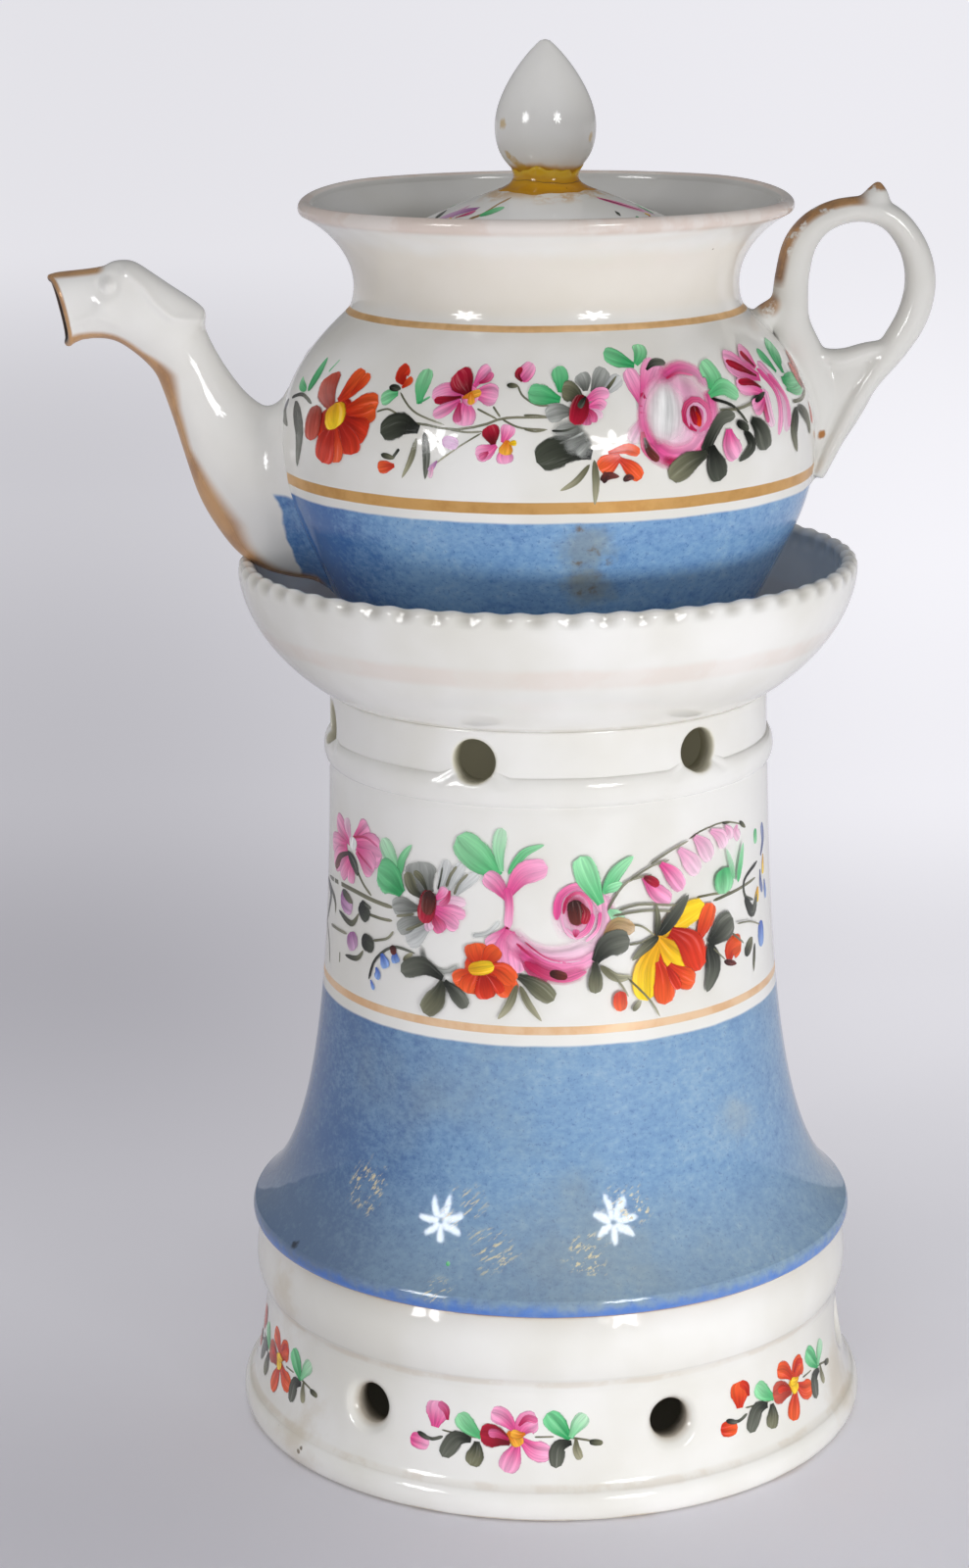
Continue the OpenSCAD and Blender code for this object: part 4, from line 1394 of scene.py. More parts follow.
# Painted shade: the blue is deepened towards the left.
painted_left_shade = 1.0 - glaze.along("X").step(-48, -14)
ground = glaze.band(ledge_z - 2, BLUE_TOP, 0.5, 0.12)
glaze.coat(ground, glaze.effect(blue_group, Depth=near_edge * 0.1 + painted_left_shade * 0.4), 0.06)
# Painted shade: a darker blue laid over the left of the ground.
glaze.coat(painted_left_shade * ground * 0.3, "36527a")
glaze.coat(ground * 0.16, "8d9690")
glaze.coat(glaze.grain(26.0, 4.0, 0.6).step(0.5, 0.75) * ground * 0.3, "8d9690")
glaze.coat((1.0 - height.step(42.0, 60.0)) * ground * 0.3, "8f9690")
glaze.stains(OLIVE, "9c9c86", None, 90.0, 0.3, ground * 0.22)
glaze.stains(YELLOWED, "b9b7a0", None, 55.0, 0.18, ground * 0.3)
glaze.coat(near_edge * ground * 0.7, "3f78d6")
slanting = glaze.put("Mapping", {"Vector": glaze.place, "Rotation": (0, SCRATCH_SLANT, 0)})
hairs = glaze.grain(1500.0, 3.0, 0.7, glaze.stretched((1.0, 1.0, 0.16), slanting)).step(0.53, 0.63)
glaze.stains(SCRATCHED, "d8cda4", 0.35, 300.0, 0.55, hairs * ground * 0.9)
glaze.stains(BLACK_SPOTS, "3a3a3c", 0.3, 700.0, 0.4, ground * 0.8)
glaze.gild(glaze.worn(glaze.band(*GOLD_LINE, 0.15, 0.05), 1.1), "f0cda6", "e6ba8c", 0.3, 0.15)
thread = glaze.band(ledge_z - 0.3, ledge_z + 0.5, 0.3, 0.1)
glaze.gild(glaze.worn(thread, 0.75, 260.0), "b98f5c", "8c6234")
glaze.coat(glaze.worn(glaze.number("Vent"), 0.8) * 0.6, "bdb58c", 0.3)
glaze.coat(glaze.number("Inside") * 0.8, "a39c78", 0.45)
glaze.specks(0.04)
glaze.dress(pedestal)

# %% [markdown]
# ## Bowl glaze
#
# The bowl keeps a faint pink band of worn gilding on its outside, and painted shade and painted reflection
# make the flutes of the rim read as grey between white crests.

# %% Glaze the bowl
PINK_BAND = (146.3, 151.2)
glaze = Glaze("bowl_glaze")
pink = glaze.band(*PINK_BAND, 1.5, 0.3)
glaze.coat(pink * 0.14, "d9b6a4", 0.2)
glaze.coat(glaze.worn(pink, 0.5, 60.0) * 0.1, "d9b6a4", 0.2)
# Painted shade and painted reflection: the troughs of the flutes are greyed.
glaze.coat(glaze.number("FluteShade") * 0.6, "a8a498", 0.25)
seam = glaze.band(bowl_z - 0.5, bowl_z + 1.0, 0.6, 0.3)
glaze.coat(glaze.worn(seam, 0.6, 160.0) * 0.25, "b3a183", 0.3)
glaze.specks(0.05)
glaze.dress(bowl)

# %% [markdown]
# ## Teapot glaze
#
# The blue of the teapot and the gold line over it break off at the spout. Painted shade deepens the blue
# towards the bottom, where the bowl hides the pot, and towards the left, and greys the neck above its gold
# line. The neck carries a second line, the rim its worn pink gilding, and tea has left brown runs on the
# front. The inside of the neck is greyed by painted shade, darkest down in the corner where it meets the lid.

# %% Glaze the teapot
POT_BLUE_FOOT = 140.0
POT_BLUE_TOP = 174.2
POT_GOLD = (175.5, 177.6)
NECK_GOLD = (203.85, 205.0)
SPOUT_MARGIN = 6.0
TEA_VEILS = (((13.0, 6.0, -44.5, 168.0), 0.45), ((11.0, 6.8, -43.0, 162.5), 0.5))
TEA_RUNS = [(5.0, 7.0, -44.8, 169.4), (4.0, 9.9, -43.3, 167.1), (5.5, 6.8, -41.6, 162.2),
            (4.0, 7.9, -42.7, 164.9), (4.0, 4.5, -46.4, 173.0), (4.5, 4.4, -44.0, 167.0),
            (4.0, 4.3, -41.5, 161.4)]
glaze = Glaze("teapot_glaze")
height = glaze.along("Z")
from_spout = glaze.calc("ABSOLUTE", glaze.along("Y")) + glaze.grain(140.0) * 2.4
clear = from_spout.step(SPOUT_MARGIN, SPOUT_MARGIN + 0.6)
painted_on = glaze.calc("MAXIMUM", clear, glaze.along("X").step(-20, -19))
# Painted shade: the blue darkens towards the bottom, where the bowl hides the pot.
painted_low_shade = (1.0 - height.step(147.0, 160.0)) * 0.3
# Painted shade: the blue deepens towards the left.
painted_left_shade = (1.0 - glaze.along("X").step(-46, -20)) * 0.45
ground = glaze.band(POT_BLUE_FOOT, POT_BLUE_TOP, 0.5, 0.14) * painted_on
glaze.coat(ground, glaze.effect(blue_group, Depth=painted_low_shade + painted_left_shade + 0.04), 0.06)
for spot, strength in TEA_VEILS:
    glaze.stains([spot], "8b8a70", 0.2, 130.0, 0.4, ground * strength)
glaze.stains(TEA_RUNS, "6f5c3e", 0.3, 700.0, 0.12, ground * 0.9)
glaze.gild(glaze.worn(glaze.band(*POT_GOLD, 0.15, 0.05) * painted_on, 1.1), "e0ae68", "cf9a54")
glaze.gild(glaze.worn(glaze.band(*NECK_GOLD, 0.15, 0.05), 1.0), "f0c58c", "dcae74", 0.3, 0.25)
# Painted shade: the neck above its gold line is set greyer and warmer.
glaze.coat(glaze.band(NECK_GOLD[1], rim_z - 4, 3.0, 0.8) * 0.45, "e4d9c7")
inside = glaze.number("Inside")
outside = 1.0 - inside
lip_pink = height.step(rim_z - 2.8, rim_z - 1.8)
glaze.coat(lip_pink * outside * 0.3, "d2b4a2", 0.16)
glaze.coat(glaze.worn(lip_pink, 0.5, 60.0) * outside * 0.25, "c9a48e", 0.2)
# Painted shade: the inside of the neck is greyed, and darkest down in the corner where it meets the lid.
glaze.coat(inside * 0.4, "9b9a96", 0.2)
glaze.coat(inside * (1.0 - height.step(lid_z + 1, rim_z - 1)) * 0.65, "4e4c48", 0.3)
glaze.specks(0.07)
glaze.dress(pot)

# %% [markdown]
# ## Lid, finial and cement
#
# Some of the cement ran onto the dome and up the finial, so both glazes carry amber stains next to the
# joint. The cement itself is clear yellow, lighter towards its top as painted light and browner at its foot
# on the dome as painted shade, and brown along the crack.

# %% Glaze the lid and the finial
AMBER = "c9952f"
FINIAL_SPOTS = [(1.7, -7.4, -4.6, finial_z + 10.4), (1.5, 7.6, -4.0, finial_z + 8.0),
                (1.5, -6.6, -4.4, finial_z + 5.2), (1.9, -5.4, -4.6, finial_z + 4.2),
                (2.2, -4.2, -4.6, finial_z + 3.2)]
glaze = Glaze("lid_glaze")
near_joint = glaze.band(finial_z - 2.6, finial_z + 2, 1.2, 0.8)
glaze.coat(glaze.worn(near_joint, 0.6, 180.0) * 0.6, AMBER, 0.15)
glaze.specks(0.06)
glaze.dress(lid)

# Painted light: the finial's white is set whiter than the other pieces'.
glaze = Glaze("finial_glaze", "f2f1ed", "e8e6df")
near_joint = glaze.band(finial_z - 1, finial_z + 4.2, 1.5, 1.2)
glaze.coat(glaze.worn(near_joint, 0.75, 150.0), AMBER, 0.15)
glaze.stains(FINIAL_SPOTS, "d0a840", 0.2, 900.0, 0.55, 0.6)
glaze.specks(0.08, scale=300.0, size=0.06)
glaze.dress(finial)

# %% Melt the cement
glaze = Glaze("cement_amber", "ecbd3c", "d0921c", 0.08)
# Painted shade: browner at the foot of the cement.
glaze.coat(glaze.band(finial_z - 4, finial_z + 0.1, 1.0, 0.6) * 0.5, "a06a1a")
# Painted light: a brighter yellow towards the top of the cement.
glaze.coat(glaze.band(finial_z + 1.1, finial_z + 5, 0.9, 0.8) * 0.6, "f6cf3c")
crack = glaze.band(finial_z + 0.5, finial_z + 0.72, 0.12, 0.5)
glaze.coat(crack * 0.8, "54330f", 0.4)
glaze.specks(0.15, "5a3410", 600.0, 0.12)
glaze.dress(cement, ripple=0.5)

# %% [markdown]
# ## Spout and handle glaze
#
# Both were lined with gold, which fingers have rubbed down to a warm brown. The stored number says where
# the line ran; the wear group breaks it up. The sponge ran over onto the root of the spout, where the blue
# ends in an uneven slanting edge.

# %% Glaze the spout and the handle
ROOT_BLUE = (3.8, 4.6)
ROOT_SLOPE = 0.293
GILT_SHARE = 0.9
GILT_SPOT = [(1.7, 48.4, -3.0, 181.6)]


def lined_with_gold(glaze, gold, brown, kept):
    gilt = glaze.worn(glaze.number("Gilt"), kept, 260.0)
    glaze.gild(gilt * GILT_SHARE, gold, brown, 0.3, 0.2)


# Painted light: the spout's white is set whiter than the other pieces'.
glaze = Glaze("spout_glaze", "f5f4f0", "edebe5")
slant = glaze.along("X") + glaze.along("Z") * ROOT_SLOPE + glaze.grain(160.0, 3.0) * 3.0
ground = slant.step(*ROOT_BLUE) * glaze.band(POT_BLUE_FOOT, POT_BLUE_TOP - 0.8, 0.8, 0.3)
glaze.coat(ground, glaze.effect(blue_group, Depth=0.25), 0.12)
lined_with_gold(glaze, "d19c5e", "b57f46", 1.1)
# Painted shade: the bore darkens towards the inside.
glaze.coat(glaze.number("BoreShade"), "2a1c10", 0.4)
glaze.specks(0.06)
glaze.dress(spout, ripple=0.12)

# Painted shade: the handle's white is set greyer than the other pieces'.
glaze = Glaze("handle_glaze", "dfded9", "d6d4cd")
lined_with_gold(glaze, "bb874a", "7e5228", 0.72)
glaze.stains(GILT_SPOT, "a8713a", 0.3, 500.0, 0.5)
glaze.specks(0.06)
glaze.dress(handle, ripple=0.12)

# %% [markdown]
# ## Lamp and float finishes
#
# The cup is plain white with a sooty mouth. Cork is brown with dark pores, tin is grey metal with a dull
# bloom, and the cotton wick is burnt black at its tip.

# %% Finish the lamp and the float
glaze = Glaze("lamp_glaze")
mouth = glaze.band(lamp_top - 5, lamp_top + 1, 3.0, 1.0)
glaze.coat(glaze.worn(mouth, 0.7, 150.0) * 0.5, "7a6a4c", 0.3)
glaze.specks(0.1)
glaze.dress(oil_cup, cup_ring)

glaze = Glaze("cork_bark", "c39a68", "a97f50", 0.8)
pits = glaze.grain(700.0, 5.0, 0.7).step(0.58, 0.68)
glaze.coat(pits, "5e3f22", 0.9)
glaze.relief = 1.0 - pits
glaze.dress(cork, ripple=0.4)

glaze = Glaze("tin_sheet", "b9bcc0", "9da1a6", 0.34)
glaze.metal = 0.9
dull = glaze.grain(260.0, 5.0, 0.65).step(0.45, 0.7)
glaze.coat(dull * 0.6, "7d7466", 0.6, 0.5)
glaze.dress(tin_plate, ripple=0.2)

glaze = Glaze("cotton_wick", "e8dfc8", "d8ccb0", 0.9)
glaze.relief = glaze.grain(2600.0, 3.0, place=glaze.stretched((1.0, 1.0, 0.3)))
glaze.coat(glaze.along("Z").step(tube_top + 1.2, tube_top + 2.4), "16120f", 0.95)
glaze.dress(wick, ripple=0.5)

# %% [markdown]
# ## Enamel flowers
#
# The flowers are painted over the glaze in enamel colours, one loaded brush stroke for each petal and leaf.
# A stroke here has a line to follow, a width, a shape and a paint, which runs from one colour at the root
# to another at the tip and may be thin. The brush is one small grid, and every stroke is a copy of it laid
# on the porcelain. Strokes that overlap are stacked a hundredth of a millimetre apart, in painting order.

# %% Paints
# Each paint: its colour at the root and at the tip of a stroke, then its strength at both.
PAINTS = {
    "green": ("4fb070", "93d9a4", 1.0, 0.92),
    "deep_green": ("2c9858", "70c68c", 1.0, 0.95),
    "pale_green": ("82d098", "bdebc6", 0.9, 0.7),
    "twig": ("63634f", "8b8972", 0.95, 0.85),
    "olive": ("2e3126", "75755c", 1.0, 0.92),
    "pale_olive": ("626148", "a4a184", 0.95, 0.85),
    "slate": ("1f231c", "62655a", 1.0, 0.95),
    "ink": ("12150f", "44483d", 1.0, 0.97),
    "grey": ("5f625c", "a6a9a4", 0.92, 0.8),
    "pale_grey": ("b2b6b5", "d8dbdb", 0.75, 0.6),
    "white": ("f4f4f2", "f0f0ee", 0.95, 0.9),
    "red": ("a81808", "d83818", 1.0, 0.97),
    "orange": ("c22a0a", "e85a24", 1.0, 0.95),
    "brick": ("962a1c", "c85644", 1.0, 0.92),
    "crimson": ("640614", "ac1432", 1.0, 0.97),
    "rose": ("b01c4e", "de6c9c", 1.0, 0.9),
    "pink": ("d84a8c", "f4a9cd", 1.0, 0.9),
    "pale_pink": ("eaa2c6", "f5cfe2", 0.85, 0.75),
    "lilac": ("a0639a", "d8aed2", 0.95, 0.85),
    "yellow": ("dd9f10", "f6cf22", 1.0, 1.0),
    "amber": ("cf6c12", "eeae38", 1.0, 0.95),
    "ochre": ("94703c", "c4a270", 0.85, 0.7),
    "brown": ("34100c", "6c2c24", 1.0, 0.9),
    "blue": ("4062b6", "88aae2", 1.0, 0.9),
    "slate_blue": ("3c4c80", "8290be", 0.95, 0.85),
}
print("paints", len(PAINTS))

# %% The brush
start_clean()
bpy.ops.mesh.primitive_grid_add(x_subdivisions=5, y_subdivisions=11, size=2)
brush = named("brush")
STROKE_LIFT = 0.035
STROKE_STEP = 0.012
RUN_STEPS = 6
FULLEST = 0.62
SLOPE_OVER = 0.2
GRAIN_APART = 3.7


def spread(shape, t):
    """Share of its full width that a stroke has, from the root at 0 to the tip at 1."""
    if shape.endswith("stem"):
        return min(1, 8 * t + 0.35, 5 * (1 - t) + 0.3)
    if shape.endswith("oval"):
        return math.sqrt(max(0, 1 - (2 * t - 1) ** 2))
    if shape == "leaf":
        return math.sin(math.pi * t ** 0.85) ** 0.8
    rounding = max(0, (t - FULLEST) / (1 - FULLEST)) ** 2.4
    return (0.32 + 0.68 * fade(t, 0, FULLEST)) * math.sqrt(max(0, 1 - rounding))


def washed(shape, across, t):
    """Strength of the paint: a soft stroke thins out to its edge, any other is as strong everywhere."""
    if not shape.startswith("soft"):
        return 1
    if shape == "soft_oval":
        return 1 - fade(math.hypot(across * spread(shape, t), 2 * t - 1), 0.35, 1)
    return (1 - fade(abs(across), 0.2, 1)) * fade(t, 0, 0.2) * (1 - fade(t, 0.8, 1))


def read_strokes(text, middle, swap=None):
    """One stroke a line: shape, paint, width and places. A place is given in degrees to the right and in
    millimetres up from the place before, and the first one from a middle. A shape or a paint that isn't
    named is that of the line before."""
    rows, shape, paint = [], "", ""
    for line in text.strip().splitlines():
        if line.startswith("#"):
            continue
        words = line.split()
        while words[0][0].isalpha():
            word = words.pop(0)
            shape, paint = (shape, word) if word in PAINTS else (word, paint)
        width, *moves = map(float, words)
        spot, places = middle, []
        for right, up in zip(moves[::2], moves[1::2]):
            spot = (spot[0] + right, spot[1] + up)
            places.append(spot)
        rows.append((shape, (swap or {}).get(paint, paint), width, places))
    return rows


def rolled_out(outline, places):
    """The places of a stroke on the porcelain rolled out flat, and the radius it was rolled at."""
    around = radius_at(outline, sum(z for _, z in places) / len(places))
    return smooth_run([(math.radians(a) * around, z) for a, z in places], RUN_STEPS), around


def stacking(outline, rows):
    """How many strokes each stroke lies on."""
    spots = [(width, rolled_out(outline, places)[0][::2]) for _, _, width, places in rows]
    heights = []
    for i, (width, run) in enumerate(spots):
        under = [heights[k] for k, (other, others) in enumerate(spots[:i])
                 if min(math.dist(p, q) for p in run for q in others) < 0.5 * (width + other)]
        heights.append(max(under) + 1 if under else 0)
    return heights


def lay(mesh, outline, row, number, height):
    """Lay one copy of the brush on a turned piece."""
    shape, paint, width, places = row
    run, around = rolled_out(outline, places)
    root, tip, full, thin = PAINTS[paint]
    root, tip = Vector(tint(root)[:3]), Vector(tint(tip)[:3])
    colours, marks = [], []
    for vert in mesh.vertices:
        across, t = vert.co.x, (vert.co.y + 1) / 2
        k = min(int(t * (len(run) - 1)), len(run) - 2)
        here, after = Vector(run[k]), Vector(run[k + 1])
        along = (after - here).normalized()
        spot = here.lerp(after, t * (len(run) - 1) - k)
        spot += Vector((-along.y, along.x)) * (across * width / 2 * spread(shape, t))
        z, angle = spot.y, spot.x / around
        rise = radius_at(outline, z + SLOPE_OVER) - radius_at(outline, z - SLOPE_OVER)
        slope = rise / (2 * SLOPE_OVER)
        lift = (STROKE_LIFT + STROKE_STEP * height) / math.hypot(1, slope)
        r = radius_at(outline, z) + lift
        vert.co = Vector((r * math.sin(angle), -r * math.cos(angle), z - lift * slope)) * MM
        strength = (full + (thin - full) * t) * washed(shape, across, t)
        colours += [*root.lerp(tip, fade(t, 0.1, 0.95)), strength]
        marks += [across, t, GRAIN_APART * number]
    mesh.attributes.new("Paint", "FLOAT_COLOR", "POINT").data.foreach_set("color", colours)
    mesh.attributes.new("Stroke", "FLOAT_VECTOR", "POINT").data.foreach_set("vector", marks)


def own_copy(piece):
    """A copy with its own mesh."""
    twin = piece.copy()
    twin.data = piece.data.copy()
    bpy.context.collection.objects.link(twin)
    return twin


def painted(name, outline, rows, turns):
    """Lay every stroke of a pattern, and repeat the pattern round the axis at each turn, in degrees."""
    parts = []
    for number, (row, height) in enumerate(zip(rows, stacking(outline, rows))):
        part = own_copy(brush)
        lay(part.data, outline, row, number, height)
        parts.append(part)
    pattern = joined(name, parts)
    copies = [pattern] + [own_copy(pattern) for _ in turns[1:]]
    for twin, degrees in zip(copies, turns):
        twin.data.transform(Matrix.Rotation(math.radians(degrees), 4, "Z"))
    piece = joined(name, copies)
    bpy.ops.object.shade_smooth()
    print(name, len(piece.data.polygons), "faces")
    return piece


# %% [markdown]
# ## Garlands of the teapot and the pedestal
#
# Each garland runs over the front from side to side: stems and leaves first, then the flowers over them.
# The back carries the same garland turned half round.

